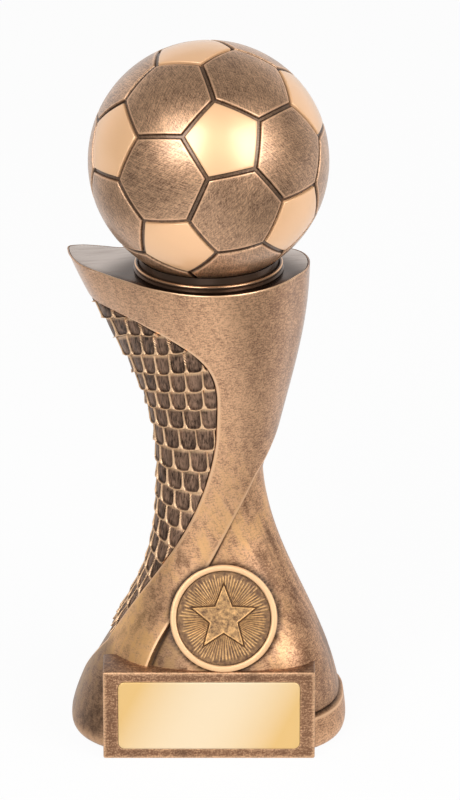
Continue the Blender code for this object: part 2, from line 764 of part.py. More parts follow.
def build_tower(plinth_pocket, medal_pocket, dowel_holes):
    """The twisted casting with its raised band, and everything that is let into it."""
    tower = make_piece("tower_casting", *loft(tower_rings()), FINISH["bronze"])
    deck_recess = loft(
        [
            cup_inset(CUP_RIM + DECK_TAPER, DECK_FLOOR - GAP),
            cup_inset(CUP_RIM, DECK_TOP - GAP),
            cup_inset(CUP_RIM, CUP_HEIGHT + CUTTER_PAST),
        ]
    )
    spigot_floor = min(COLLAR_BASE, DECK_FLOOR - GAP) - GAP
    spigot = cylinder(COLLAR_SPIGOT, spigot_floor, CUP_HEIGHT + CUTTER_PAST, ROUND_SEGMENTS)
    bore = cylinder(ROD_HOLE, -CUTTER_PAST, CUP_HEIGHT + CUTTER_PAST, start=BORE_START)
    nut_pocket = cylinder(NUT_POCKET_RADIUS, -CUTTER_PAST, NUT_POCKET_TOP, start=POCKET_START)
    pad_recess = prism(pad_outline(GAP), -CUTTER_PAST, PAD_RECESS_TOP)
    cut(
        tower,
        medal_pocket,
        *dowel_holes,
        plinth_pocket,
        make_cutter("pad_recess_cutter", *pad_recess),
        make_cutter("deck_recess_cutter", *deck_recess),
        make_cutter("spigot_cutter", *spigot),
        make_cutter("nut_pocket_cutter", *nut_pocket),
        make_cutter("rod_bore_cutter", *bore),
    )
    make_piece("scale_panel", *strip_caps(scale_panel_rings()), FINISH["dark_bronze"])
    make_piece("base_pad", *prism(pad_outline(0.0), 0.0, PAD_THICKNESS), FINISH["felt"])


def build_medallion():
    """The medallion's cup, the star insert and the adhesive sheet between them."""
    cup = loft(circles(medal_profile(), ROUND_SEGMENTS))
    place(make_piece("medallion_cup", *cup, FINISH["gold"]), medal_frame())
    disc_back = -DISC_BELOW_LIP - DISC_THICKNESS
    place(make_piece("star_disc", *star_disc(), FINISH["gold"]), medal_frame(disc_back))
    sheet = cylinder(DISC_RADIUS - ADHESIVE_INSET, -ADHESIVE_THICKNESS, 0.0, ROUND_SEGMENTS)
    place(make_piece("disc_adhesive", *sheet, FINISH["adhesive"]), medal_frame(disc_back - GAP))


def build_plinth(plinth_cuts):
    """The block at the foot, and the engraving plate with its adhesive in a shallow pocket."""
    body = prism(plinth_box(0.0, PLINTH_FRONT), PLINTH_FLOOR, PLINTH_TOP)
    block = make_piece("plinth", *body, FINISH["bronze"])
    opening = rounded_rectangle(PLATE_WIDTH + 2 * GAP, PLATE_HEIGHT + 2 * GAP, PLATE_CORNER + GAP)
    sunk = make_cutter("plate_pocket_cutter", *prism(opening, 0.0, PLATE_POCKET + CUTTER_PAST))
    place(sunk, facing_front(POCKET_FLOOR, PLINTH_MIDDLE))
    soften = block.modifiers.new("edges", "BEVEL")
    soften.width = PLINTH_EDGE * MM
    soften.segments = EDGE_SEGMENTS
    cut(block, sunk, *plinth_cuts)
    inner = (PLATE_WIDTH - 2 * ADHESIVE_INSET, PLATE_HEIGHT - 2 * ADHESIVE_INSET)
    sheet = prism(rounded_rectangle(*inner, PLATE_CORNER), 0.0, ADHESIVE_THICKNESS)
    sheet_back = POCKET_FLOOR - GAP
    place(make_piece("plate_adhesive", *sheet, FINISH["adhesive"]), facing_front(sheet_back, PLINTH_MIDDLE))
    plate = prism(rounded_rectangle(PLATE_WIDTH, PLATE_HEIGHT, PLATE_CORNER), 0.0, PLATE_THICKNESS)
    plate_back = sheet_back - ADHESIVE_THICKNESS - GAP
    place(make_piece("engraving_plate", *plate, FINISH["gold"]), facing_front(plate_back, PLINTH_MIDDLE))


def dowel_frames():
    """The two dowels' middles, on the joint between plinth and tower."""
    joint = -PLINTH_FRONT + PLINTH_DEPTH
    turn = Euler((math.pi / 2, 0, 0)).to_matrix().to_4x4()
    return [Matrix.Translation((side * DOWEL_SPACING / 2, joint, DOWEL_HEIGHT)) @ turn for side in (-1, 1)]


def build_dowels():
    """The two dowels, and the holes that take them."""
    holes = []
    for name, frame in zip(("left", "right"), dowel_frames()):
        half = DOWEL_LENGTH / 2
        pin = make_piece(f"plinth_dowel_{name}", *cylinder(DOWEL_RADIUS, -half, half), FINISH["steel"])
        place(pin, frame)
        hole = cylinder(DOWEL_RADIUS + GAP, -half - GAP, half + GAP)
        holes.append(place(make_cutter(f"dowel_hole_{name}", *hole), frame))
    return holes


clear_scene()
FINISH = {
    "bronze": finish("antique_bronze", (0.24, 0.135, 0.07), 0.42, 0.85),
    "dark_bronze": finish("dark_bronze", (0.1, 0.055, 0.032), 0.45, 0.8),
    "copper": finish("polished_copper", (0.83, 0.5, 0.27), 0.3, 0.9),
    "lacquer": finish("black_lacquer", (0.035, 0.025, 0.02), 0.22, 0.3),
    "gold": finish("gold", (0.8, 0.58, 0.26), 0.3, 0.95),
    "steel": finish("zinc_steel", (0.55, 0.56, 0.57), 0.35, 1.0),
    "felt": finish("black_felt", (0.02, 0.02, 0.022), 0.95, 0.0),
    "adhesive": finish("adhesive", (0.75, 0.74, 0.7), 0.7, 0.0),
}
pocket = prism(plinth_box(GAP, PLINTH_FRONT + CUTTER_PAST), -CUTTER_PAST, PLINTH_TOP + GAP)
plinth_pocket = make_cutter("plinth_pocket_cutter", *pocket)
medal_hole = cylinder(MEDAL_RADIUS + GAP, -MEDAL_DEPTH - GAP, CUTTER_PAST, ROUND_SEGMENTS)
medal_pocket = place(make_cutter("medal_pocket_cutter", *medal_hole), medal_frame())
dowel_holes = build_dowels()
build_ball()
build_top()
build_tie_rod()
build_tower(plinth_pocket, medal_pocket, dowel_holes)
build_medallion()
build_plinth([medal_pocket, *dowel_holes])
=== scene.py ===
"""Dresses the football trophy's CAD frame in antique bronze, copper, lacquer and gold.

The file is laid out as a Blender add-on, so that a user can change sizes and colours in the sidebar, and it
is run as a script. Shapes are worked out in millimetres in the CAD frame: +X to the viewer's right, the front
at -Y, +Z up, the origin on the table under the ball.
"""

import itertools
import math

import bmesh
import bpy
import numpy as np
from mathutils import Euler, Matrix, Vector


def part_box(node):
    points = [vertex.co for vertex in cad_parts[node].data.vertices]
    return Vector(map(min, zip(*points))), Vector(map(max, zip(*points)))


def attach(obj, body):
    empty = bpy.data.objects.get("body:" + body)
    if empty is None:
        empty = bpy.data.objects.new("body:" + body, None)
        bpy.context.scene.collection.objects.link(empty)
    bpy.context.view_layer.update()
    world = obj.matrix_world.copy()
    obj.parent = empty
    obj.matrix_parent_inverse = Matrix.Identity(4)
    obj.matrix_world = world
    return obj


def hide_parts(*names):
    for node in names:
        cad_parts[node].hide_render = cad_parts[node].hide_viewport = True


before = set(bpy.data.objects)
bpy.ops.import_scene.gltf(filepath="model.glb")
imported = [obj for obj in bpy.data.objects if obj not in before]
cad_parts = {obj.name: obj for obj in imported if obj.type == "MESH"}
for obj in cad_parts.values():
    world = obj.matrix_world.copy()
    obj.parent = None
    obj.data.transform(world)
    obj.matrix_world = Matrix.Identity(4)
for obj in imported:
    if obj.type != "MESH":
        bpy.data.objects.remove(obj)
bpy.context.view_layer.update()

bl_info = {
    "name": "Football Trophy",
    "version": (1, 0, 0),
    "blender": (4, 5, 0),
    "location": "View3D > Sidebar > Trophy",
    "description": "Builds the trophy's ball, tower, scales, medallion and plinth on its CAD frame",
    "category": "Object",
}

MM = 0.001
WELD = 1e-6
SHARP = math.radians(40.0)
BODY = "root"
BLACK = (0.0, 0.0, 0.0)
WHITE = (1.0, 1.0, 1.0)

# Numbers of rows and columns of the grids, of halvings in the search for a scale's height, and a random seed
FOOT_ROWS = 10
TOWER_ROWS = 190
RECESS_COLUMNS = 130
BAND_COLUMNS = 112
SCALE_COLUMNS = 250
SCALE_BACK_COLUMNS = 12
SCALE_LEVELS = 561
SCALE_HALVINGS = 22
DISC_ROWS = 130
RAY_COLUMNS = 8
COLLAR_ROWS = 24
DECK_COLUMNS = 720
BRUSH_SEED = 7

# Tower form in mm and degrees, as in the CAD source; four values are for the right, left, front and back
FLOOR = 0.5
WAIST_HEIGHT = 74.0
CUP_HEIGHT = 129.9
FOOT = (35.8, 36.5, 26.5, 25.0)
WAIST = (14.25, 12.55, 10.2, 10.4)
SECTION_POWER = 2.1
FOOT_SQUARE = (0.57, 12.0)
SHOULDER = (1.47, 26.0, 10.0)
FOOT_FLARE = ((1.45, 1.64), (2.5, 1.3), (2.2, 2.42), (1.9, 1.48))
CUP_FLARE_RIGHT = (0.91, 1.84)
CUP_FLARE_LEFT = (1.93, 1.0)
CUP_RADIUS = 22.0
CUP_TURN = (0, 24, 50, 90, 125, 146, 149, 152, 156, 160, 172, 193, 214, 245, 275, 309, 340)
CUP_SHARE = (
    *(1.182, 1.255, 1.073, 0.982, 1.055, 1.27, 1.49, 1.72, 1.85),
    *(1.8, 1.605, 1.245, 1.064, 0.991, 1.005, 1.018, 1.077),
)
FOOT_ROUND = (3.6, 2.0)
PAD = (29.0, 29.0, 10.0, 21.0)
PAD_GAP = 0.3
PAD_RECESS = 1.5

# Band, as in the CAD source. Its lower edge has an angle at the foot, degrees a mm, the height of a bend and
# how soft that is. Its upper edge has angles at the foot, the left, the front and the tip
FOOT_RIM = 9.5
RIM_PROUD = 0.9
RIM_FADE = 20.0
RECESS_TOP = 119.5
LOWER_EDGE = (230.3, 360 / 135, 36.8, 5.7)
UPPER_EDGE = (165.0, 191.0, 279.0, 170.0)

# Finer forms of the tower in mm: more rounding on the foot's left, grooves as (place, width, depth), fades
FOOT_ROUND_LEFT = 0.8
RIM_GROOVE = (0.6, 0.3, 0.5)
RIM_EDGE = (-0.3, 0.45)
RIM_FRONT = (-4.0, 8.0)
RIM_BACK_DROP = 0.35
CUP_WALL = 0.9
DECK_RECESS = 3.6
RECESS_FADE = (0.5, 0.7)
EDGE_FADE = (0.5, 2.5)
EDGE_GROOVE = (0.7, 0.3, 0.1)
EDGE_SOFT = 0.3

# Wear, painted highlight and painted shade on the tower in mm: lines as (place, width), how far shade spreads
LIT_EDGE = (0.3, 0.35)
FOOT_WEAR = (FLOOR + 2.2, 2.0)
EDGE_SHADE = (0.6, 0.4)
FOLD_WIDTH = 10.0
FOLD_TOP = 44.0
FOLD_FADE = 8.0
RIM_SHADE_REACH = 4.0
MEDAL_SHADE = (0.0, 0.7)
MEDAL_SHADE_REACH = 1.5
PLINTH_SHADE_SIDE = (24.0, 27.5)
PLINTH_SHADE_TOP = 33.0
PLINTH_SHADE_BACK = 12.0

# Panel of scales in mm and degrees: its ends, its rows, and how far its front, back and edges stand proud
SCALES_FOOT = 26.0
SCALES_LOW = SCALES_FOOT + 1.0
SCALES_BEND = 88.0
SCALES_HIGH = RECESS_TOP - 0.5
SCALES_REAR = 166.0
SCALE_TOP_LIP = 113.2
SCALE_SWELL = (86.0, 16.0)
SCALE_LEVEL_ROW = 76.0
SCALE_TILT = 0.009
SCALE_TILT_LIMITS = (-0.235, 0.3)
SCALE_SEAT = 0.35
SCALE_BACK = 0.2
SCALE_EDGE = 0.15

# Ridges between scales: where they start and are measured, in degrees, then the height under which they
# swing to the left, with the rate and power of that swing
RIDGE_START = 265.0
RIDGE_MEASURE = 235.0
RIDGE_SWING = (100.0, 0.1164, 1.7)

# What stands on the tower, in mm; a panel's middle is past any distance from its seam
DECK_TOP = 129.6
DECK_FLOOR = 126.4
DECK_HOLE = 12.0
DECK_GAP = 0.06
DECK_WALL = 1.6
COLLAR_HOLE = 3.3
COLLAR_SPIGOT = 11.7
COLLAR_DISH = 18.2
COLLAR_LIP = 0.55
COLLAR_GAP = 0.3
COLLAR_FLOOR = 1.8
BALL_HEIGHT = 159.1
INLAY_GAP = 0.2
PANEL_MIDDLE = 99.0

# Plinth block and medallion in mm; the tower is pushed back to the beds behind them
PLINTH_HALF_WIDTH = 28.0
PLINTH_HALF_HEIGHT = 12.45
PLINTH_MIDDLE = 12.55
PLINTH_FRONT = -25.0
PLINTH_BACK = -12.5
PLINTH_TOP = PLINTH_MIDDLE + PLINTH_HALF_HEIGHT
PLINTH_BED = -23.0
PLATE_GAP = 0.08
PLATE_POCKET = 1.5
MEDAL_RADIUS = 14.15
MEDAL_LEAN = math.radians(23.3)
MEDAL_PLACE = (3.9, -19.7, 38.296)
MEDAL_BACK = -5.0
MEDAL_FLOOR = -2.8
MEDAL_BED = -3.6
MEDAL_SIDE = -4.0
DISC_GAP = 0.2
DISC_BACK = -1.8
DISC_EDGE = -0.85
DISC_FACE = -0.8

# Finishes: heights in metres over which the lower tower's begins, and the waves of a brushed line per mm
# along and across it, with the step from one panel's lines to the next
LOWER_TOWER = (0.1, 0.055)
BRUSH_WAVES = (0.35, 4.4, 40.0)

# Dark and light of the hidden pieces
ZINC = ((0.45, 0.46, 0.48), (0.66, 0.67, 0.69))
FELT = ((0.012, 0.012, 0.013), (0.05, 0.05, 0.052))
FOAM = ((0.66, 0.65, 0.6), (0.82, 0.81, 0.77))

# Stage in metres: each lamp's name, place and share of the left one's power
LAMPS = (("softbox_left", (-0.58, -1.1, 1.02), 1.0), ("softbox_right", (0.98, -0.9, 0.86), 0.85))
LAMP_SIZE = 0.9
LAMP_AIM = Vector((0.0, 0.0, 0.1))
FLOOR_HALF = 3.0
FLOOR_GREY = (0.85, 0.85, 0.85, 1.0)
SENSOR_HEIGHT = 36.0


def finish_colour(name, default, description):
    """A colour property."""
    return bpy.props.FloatVectorProperty(
        name=name, description=description, default=default, size=3, subtype="COLOR", min=0.0, max=1.0
    )


def number(name, default, description, **kind):
    """A number property."""
    return bpy.props.FloatProperty(name=name, description=description, default=default, **kind)


def length(name, default, description):
    """A length property in millimetres."""
    return number(name, default, description + ", in mm", min=0.0)


class TrophyBall(bpy.types.PropertyGroup):
    """Sizes of the ball."""

    radius: length("Radius", 31.3, "Radius of the ball over its panels")
    seam_width: length("Seam width", 1.5, "Width of the groove between two panels")
    seam_depth: length("Seam depth", 0.7, "Depth of the groove between two panels")
    inlay_depth: length("Inlay depth", 1.5, "Thickness of a polished pentagon")
    tilt: bpy.props.FloatVectorProperty(
        name="Tilt",
        description="Turn of the panel pattern about X, Y and Z",
        default=(math.radians(-0.4), math.radians(-66.7), math.radians(-4.5)),
        subtype="EULER",
    )


class TrophyTower(bpy.types.PropertyGroup):
    """Sizes of the tower and what is let into its top."""

    band_proud: length("Band height", 1.5, "How far the winding band stands proud of the core")
    edge_wall: length("Edge wall", 0.4, "Width of the band's sloping side")
    edge_round: length("Edge round", 0.15, "Rounding of the band's edges")
    rim_width: length("Rim width", 0.5, "Width of the bright rim round the deck")
    collar_radius: length("Collar radius", 19.6, "Radius of the collar under the ball")
    collar_rise: length("Collar rise", 1.9, "Height of the collar above the deck")


class TrophyScales(bpy.types.PropertyGroup):
    """Sizes of the shingle scales."""

    pitch: length("Row height", 5.0, "Height of a row of scales at the panel's ends")
    swell: length("Row swell", 1.8, "What a row gains in height at the waist")
    cell: length("Scale width", 4.3, "Distance between two ridges")
    root: length("Root", 0.3, "Thickness at the top of a scale")
    tip: length("Tip", 0.9, "Thickness at the lower edge of a scale")
    ridge: length("Ridge", 0.55, "Height of the ridges between scales")
    gap: length("Edge gap", 0.35, "Gap between the scales and the band")


class TrophyMedal(bpy.types.PropertyGroup):
    """Sizes of the medallion."""

    disc_radius: length("Disc radius", 12.5, "Radius of the insert")
    star_radius: length("Star radius", 9.0, "Distance from the middle to a star's point")
    star_waist: length("Star waist", 3.9, "Distance from the middle to a star's inner corner")
    rays: bpy.props.IntProperty(
        name="Rays", description="Number of fine rays round the star", default=84, min=8
    )


class TrophyPlate(bpy.types.PropertyGroup):
    """Sizes of the engraving plate."""

    width: length("Plate width", 48.0, "Width of the engraving plate")
    height: length("Plate height", 19.2, "Height of the engraving plate")
    corner: length("Plate corner", 1.7, "Corner radius of the engraving plate")
    front: length("Plate front", 25.2, "Distance of the plate's face from the ball's axis")
    thickness: length("Plate thickness", 0.7, "Thickness of the engraving plate")


class TrophyColours(bpy.types.PropertyGroup):
    """Colours of the finishes."""

    bronze: finish_colour("Bronze", (0.31, 0.15, 0.078), "Brown of the antique bronze")
    rubbed: finish_colour("Rubbed gold", (0.83, 0.485, 0.272), "Gold that is brushed over the high places")
    hollow: finish_colour("Hollows", (0.35, 0.212, 0.14), "Grey-brown in the hollows of the scales")
    ridge: finish_colour("Ridges", (0.94, 0.62, 0.37), "Pale gold on the ridges of the scales")
    umber: finish_colour("Umber", (0.12, 0.06, 0.032), "Brown wash in broad patches")
    # Dark brown of the hollows; it also paints the shade in recesses, creases and seams.
    patina_and_shade: finish_colour("Patina", (0.03, 0.016, 0.01), "Dark wash in the recesses")
    ball: finish_colour("Ball bronze", (0.2, 0.105, 0.06), "Brown of the ball's hexagons")
    ball_light: finish_colour("Ball scratches", (0.92, 0.56, 0.33), "Fine scratches on the ball's hexagons")
    copper: finish_colour("Copper", (0.94, 0.56, 0.3), "Polished pentagons")
    deck: finish_colour("Deck", (0.5, 0.42, 0.37), "Brown-grey metal of the deck")
    lacquer: finish_colour("Lacquer", (0.06, 0.034, 0.021), "Dark collar")
    star: finish_colour("Star gold", (0.92, 0.54, 0.22), "Old gold of the insert")
    gold: finish_colour("Gold", (0.82, 0.51, 0.27), "Medallion ring")
    plate: finish_colour("Plate gold", (0.75, 0.49, 0.19), "Engraving plate")
    # Colour of the painted reflection that sweeps across the engraving plate.
    plate_reflection: finish_colour("Plate sheen", (0.84, 0.68, 0.46), "Pale sweep over the engraving plate")


class TrophyStudio(bpy.types.PropertyGroup):
    """Camera and light."""

    distance: number("Camera distance", 1.55, "From the camera to the point it aims at", unit="LENGTH")
    pitch: number("Camera pitch", math.radians(21.7), "How far the camera looks down", subtype="ANGLE")
    lens: number("Lens", 265.0, "Focal length", unit="CAMERA")
    aim: bpy.props.FloatVectorProperty(
        name="Aim",
        description="Point that the camera looks at",
        default=(0.00555, 0.0, 0.0924),
        unit="LENGTH",
    )
    key: number("Softboxes", 16.5, "Power of the left softbox", unit="POWER")
    fill: number("Fill", 0.32, "Strength of the room's light", subtype="FACTOR")
    front: number("Front", 0.18, "Brightness of the room before the trophy, in reflections", subtype="FACTOR")


class Link:
    """A shader socket that can stand in an expression: each operator adds a Math node."""

    def __init__(self, finish, socket):
        self.finish = finish
        self.socket = socket

    def maths(self, operation, first, second):
        """One Math node."""
        return self.finish.add("ShaderNodeMath", {"operation": operation}, {0: first, 1: second})

    def __add__(self, other):
        return self.maths("ADD", self, other)

    def __sub__(self, other):
        return self.maths("SUBTRACT", self, other)

    def __mul__(self, other):
        return self.maths("MULTIPLY", self, other)

    def __rsub__(self, other):
        return self.maths("SUBTRACT", other, self)

    __radd__ = __add__
    __rmul__ = __mul__

    def clip(self):
        """Held between 0 and 1."""
        return self.finish.add("ShaderNodeClamp", {}, {"Value": self})

    def rise(self, low, high):
        """Runs smoothly from 0 at low to 1 at high."""
        values = {"Value": self, "From Min": low, "From Max": high}
        return self.finish.add("ShaderNodeMapRange", {"interpolation_type": "SMOOTHSTEP"}, values)


class Finish:
    """A material made of nodes. Every node comes from add()."""

    def __init__(self, name, owner=None):
        self.owner = owner or bpy.data.materials.new(name)
        self.owner.use_nodes = True
        self.tree = self.owner.node_tree
        self.tree.nodes.clear()

    def add(self, kind, settings, values, output=0):
        """Adds a node: its settings first, then the values or links of its sockets."""
        node = self.tree.nodes.new(kind)
        for key, value in settings.items():
            setattr(node, key, value)
        for key, value in values.items():
            if isinstance(value, Link):
                self.tree.links.new(value.socket, node.inputs[key])
            else:
                node.inputs[key].default_value = value
        return Link(self, node.outputs[output]) if node.outputs else None

    def place(self):
        """Object coordinates."""
        return self.add("ShaderNodeTexCoord", {}, {}, "Object")

    def axis(self, name):
        """One of the Object coordinates, in metres."""
        return self.add("ShaderNodeSeparateXYZ", {}, {"Vector": self.place()}, name)

    def rays(self):
        """What a ray is for: the camera's own, a reflection, or light that passes through."""
        kinds = ("Is Camera Ray", "Is Glossy Ray", "Is Transmission Ray")
        return [self.add("ShaderNodeLightPath", {}, {}, kind) for kind in kinds]

    def grain(self, stretch, turn=(0.0, 0.0, 0.0), detail=3.0, roughness=0.6):
        """Noise on Object coordinates; stretch is its waves per metre, all round or along X, Y and Z."""
        stretch = stretch if isinstance(stretch, tuple) else (stretch,) * 3
        turn = tuple(math.radians(angle) for angle in turn)
        turned = self.add("ShaderNodeMapping", {}, {"Vector": self.place(), "Rotation": turn})
        scaled = self.add("ShaderNodeVectorMath", {"operation": "MULTIPLY"}, {0: turned, 1: stretch})
        values = {"Vector": scaled, "Scale": 1.0, "Detail": detail, "Roughness": roughness}
        return self.add("ShaderNodeTexNoise", {}, values)

    def lines(self, along, across, seed):
        """Noise drawn out along one direction; both distances are in mm, and each seed has its own lines."""
        waves = {"X": along * BRUSH_WAVES[0], "Y": across * BRUSH_WAVES[1], "Z": seed * BRUSH_WAVES[2]}
        place = self.add("ShaderNodeCombineXYZ", {}, waves)
        values = {"Vector": place, "Scale": 1.0, "Detail": 3.0, "Roughness": 0.6}
        return self.add("ShaderNodeTexNoise", {}, values)

    def mask(self, name):
        """A number that the piece's mesh carries at each point."""
        return self.add("ShaderNodeAttribute", {"attribute_name": name}, {}, "Fac")

    def blend(self, share, start, end):
        """Mixes two colours."""
        colours = [value if isinstance(value, Link) else (*value, 1.0) for value in (start, end)]
        return self.add("ShaderNodeMix", {"data_type": "RGBA"}, {0: share, 6: colours[0], 7: colours[1]}, 2)

    def bump(self, height, distance, strength):
        """A normal from a height that varies over the surface; the distance is in mm."""
        values = {"Height": height, "Distance": distance * MM, "Strength": strength}
        return self.add("ShaderNodeBump", {}, values)

    def close(self, **sockets):
        """Ends the material with a Principled shader. A name's underscores stand for spaces."""
        values = {key.replace("_", " "): value for key, value in sockets.items()}
        self.end(self.add("ShaderNodeBsdfPrincipled", {}, values))
        return self.owner

    def end(self, shader):
        """Links a shader to the output."""
        kind = "World" if isinstance(self.owner, bpy.types.World) else "Material"
        self.add("ShaderNodeOutput" + kind, {}, {"Surface": shader})


def smooth(value, low=0.0, high=1.0):
    """Runs from 0 at low to 1 at high with level ends: 3 t squared less 2 t cubed."""
    t = np.clip((value - low) / (high - low), 0.0, 1.0)
    return t * t * (3.0 - 2.0 * t)


def hump(value, middle, width):
    """A bell of height 1 about the middle."""
    return np.exp(-(((value - middle) / width) ** 2))


def scatter(column, row=0.0):
    """A share between 0 and 1 that jumps from one column or row to the next: a large sine's fraction."""
    return np.mod(np.sin(column * 12.99 + row * 78.23) * 437.58, 1.0)


def unit(vectors):
    """Vectors made one long."""
    return vectors / np.linalg.norm(vectors, axis=-1, keepdims=True)


def grid_faces(shape, close_rows):
    """Corner numbers of the quads between neighbouring points of equal grids whose columns close."""
    numbers = np.arange(int(np.prod(shape))).reshape(shape)
    numbers = np.concatenate([numbers, numbers[:, :, :1]], axis=2)
    if close_rows:
        numbers = np.concatenate([numbers, numbers[:, :1]], axis=1)
    corners = (numbers[:, :-1, :-1], numbers[:, :-1, 1:], numbers[:, 1:, 1:], numbers[:, 1:, :-1])
    return np.stack(corners, axis=-1).reshape(-1, 4)


def make_piece(name, grids, finish, nodes, close_rows=False):
    """One object from grids of points in mm.

    Each grid is (points, masks): points has the shape rows, columns, 3, or has several such grids, its
    columns close on themselves, and each mask has one number for each point. Doubles are merged, which
    closes poles and shared edges.
    """
    grids = [(points.reshape(-1, *points.shape[-3:]), masks) for points, masks in grids]
    starts = np.cumsum([0] + [points[..., 0].size for points, _ in grids])
    faces = [grid_faces(points.shape[:3], close_rows) + start for (points, _), start in zip(grids, starts)]
    faces = np.concatenate(faces)
    places = np.concatenate([points.reshape(-1, 3) for points, _ in grids]) * MM
    mesh = bpy.data.meshes.new(name)
    mesh.vertices.add(len(places))
    mesh.vertices.foreach_set("co", places.ravel())
    mesh.loops.add(faces.size)
    mesh.loops.foreach_set("vertex_index", faces.ravel())
    mesh.polygons.add(len(faces))
    mesh.polygons.foreach_set("loop_start", np.arange(0, faces.size, 4))
    mesh.update(calc_edges=True)
    for key in grids[0][1]:
        masks = [np.broadcast_to(of[key], points.shape[:3]).ravel() for points, of in grids]
        values = np.concatenate(masks).astype(np.float32)
        mesh.attributes.new(key, "FLOAT", "POINT").data.foreach_set("value", values)
    work = bmesh.new()
    work.from_mesh(mesh)
    bmesh.ops.remove_doubles(work, verts=work.verts, dist=WELD)
    bmesh.ops.recalc_face_normals(work, faces=work.faces)
    work.to_mesh(mesh)
    work.free()
    mesh.materials.append(finish)
    mesh.shade_smooth()
    mesh.set_sharp_from_angle(angle=SHARP)
    piece = bpy.data.objects.new(name, mesh)
    bpy.context.scene.collection.objects.link(piece)
    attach(piece, BODY)
    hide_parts(*nodes)


def ease(share, near, far):
    """From 0 to 1: the share to one power, over that plus what is left to another power."""
    share = np.clip(share, 1e-6, 1 - 1e-6)
    rise = share**near
    return rise / (rise + (1 - share) ** far)


def cup_radius(angle):
    """Radius of the cup's rim: a cubic through the outline's points that never overshoots them."""
    turn = np.array(CUP_TURN, float)
    reach = CUP_RADIUS * np.array(CUP_SHARE)
    turn = np.concatenate([turn[-2:] - 360, turn, turn[:3] + 360])
    reach = np.concatenate([reach[-2:], reach, reach[:3]])
    slope = np.diff(reach) / np.diff(turn)
    before, after = slope[:-1], slope[1:]
    same_way = before * after > 0
    product = np.where(same_way, before * after, 0.0)
    total = np.where(same_way, before + after, 1.0)
    tangent = np.concatenate([[0.0], 2 * product / total, [0.0]])
    degrees = np.mod(np.degrees(angle), 360)
    spot = np.clip(np.searchsorted(turn, degrees, side="right") - 1, 1, len(turn) - 3)
    width = turn[spot + 1] - turn[spot]
    t = (degrees - turn[spot]) / width
    bend_in, bend_out = tangent[spot] * width, tangent[spot + 1] * width
    run = reach[spot] + (reach[spot + 1] - reach[spot]) * smooth(t)
    return run + t * (1 - t) * ((1 - t) * bend_in - t * bend_out)


def oval_radius(angle, half_widths, square=0.0, shoulder=0.0):
    """Radius of an oval with four half-widths, squarer by one power and more at its front right."""
    right, left, front, back = half_widths
    across, along = np.cos(angle), np.sin(angle)
    width = np.where(across > 0, right, left)
    depth = np.where(along > 0, back, front)
    power = SECTION_POWER + square + np.where((across > 0) & (along < 0), shoulder, 0.0)
    total = np.abs(across / width) ** power + np.abs(along / depth) ** power
    return total ** (-1 / power)


def core_radius(angle, height):
    """The tower under its band: an oval foot drawn in to the waist, then opened out to the cup."""
    angle, height = np.broadcast_arrays(np.asarray(angle, float), np.asarray(height, float))
    down = (WAIST_HEIGHT - height) / WAIST_HEIGHT
    spread = [w + (f - w) * ease(down, *flare) for w, f, flare in zip(WAIST, FOOT, FOOT_FLARE)]
    square = FOOT_SQUARE[0] * hump(height, 0.0, FOOT_SQUARE[1])
    shoulder = SHOULDER[0] * hump(height, *SHOULDER[1:])
    foot = oval_radius(angle, spread, square, shoulder)
    waist = oval_radius(angle, WAIST)
    rightness = (1 + np.cos(angle)) / 2
    near = CUP_FLARE_LEFT[0] + (CUP_FLARE_RIGHT[0] - CUP_FLARE_LEFT[0]) * rightness
    far = CUP_FLARE_LEFT[1] + (CUP_FLARE_RIGHT[1] - CUP_FLARE_LEFT[1]) * rightness
    up = (height - WAIST_HEIGHT) / (CUP_HEIGHT - WAIST_HEIGHT)
    proud = bpy.context.scene.trophy_tower.band_proud
    cup = waist + (cup_radius(angle) - proud - waist) * ease(up, near, far)
    return np.where(height < WAIST_HEIGHT, foot, cup)


def lower_edge(height):
    """Angle of the band's lower edge: slow up from the foot, then a steady climb round the tower."""
    start, rate, bend, soft = LOWER_EDGE
    lift = soft * np.log1p(np.exp((height - bend) / soft))
    return np.radians(start + rate * lift)


def upper_edge(height):
    """Angle of the band's upper edge: up the left side, forward over the front, then back to the tip."""
    start, left, front, end = UPPER_EDGE
    low = np.clip((height - FOOT_RIM) / (SCALES_FOOT - FOOT_RIM), 0, 1)
    middle = np.clip((height - SCALES_FOOT) / (SCALES_BEND - SCALES_FOOT), 0, 1)
    high = np.clip((height - SCALES_BEND) / (RECESS_TOP - SCALES_BEND), 0, 1)
    rising = start + (left - start) * low + (front - left) * (1 - np.cos(np.pi * middle)) / 2
    return np.radians(rising + (end - front) * (1 - np.sqrt(1 - high**4)))


def slant(edge, height):
    """How much longer a level line across an edge is than the shortest way, where the edge leans over."""
    step = 0.05
    low, high = np.clip(height - step, 0, RECESS_TOP), np.clip(height + step, 0, RECESS_TOP)
    lean = core_radius(edge(height), height) * (edge(high) - edge(low)) / (high - low)
    return np.sqrt(1 + np.clip(lean, -4, 4) ** 2)


def round_point(angle, radius, height):
    """Points from angles, radii and heights."""
    angle, radius, height = np.broadcast_arrays(angle, radius, height)
    return np.stack([radius * np.cos(angle), radius * np.sin(angle), height], axis=-1)


def inset_ring(ring, distance):
    """A closed ring moved inwards, square to its own line."""
    along = unit(np.roll(ring, -1, axis=0) - np.roll(ring, 1, axis=0))
    inwards = np.stack([-along[:, 1], along[:, 0], np.zeros(len(ring))], axis=-1)
    return ring + inwards * distance


def medal_matrix():
    """The medallion's place: local +Z points out of its face, local +Y up the slope."""
    turn = Euler((math.pi / 2 - MEDAL_LEAN, 0, 0)).to_matrix().to_4x4()
    return Matrix.Translation(MEDAL_PLACE) @ turn


def to_medal(points):
    """World points as (across, up, out) of the medallion's face."""
    back = np.array(medal_matrix().inverted())
    return points @ back[:3, :3].T + back[:3, 3]


def from_medal(points):
    """Points of the medallion's own frame put in the world."""
    there = np.array(medal_matrix())
    return points @ there[:3, :3].T + there[:3, 3]


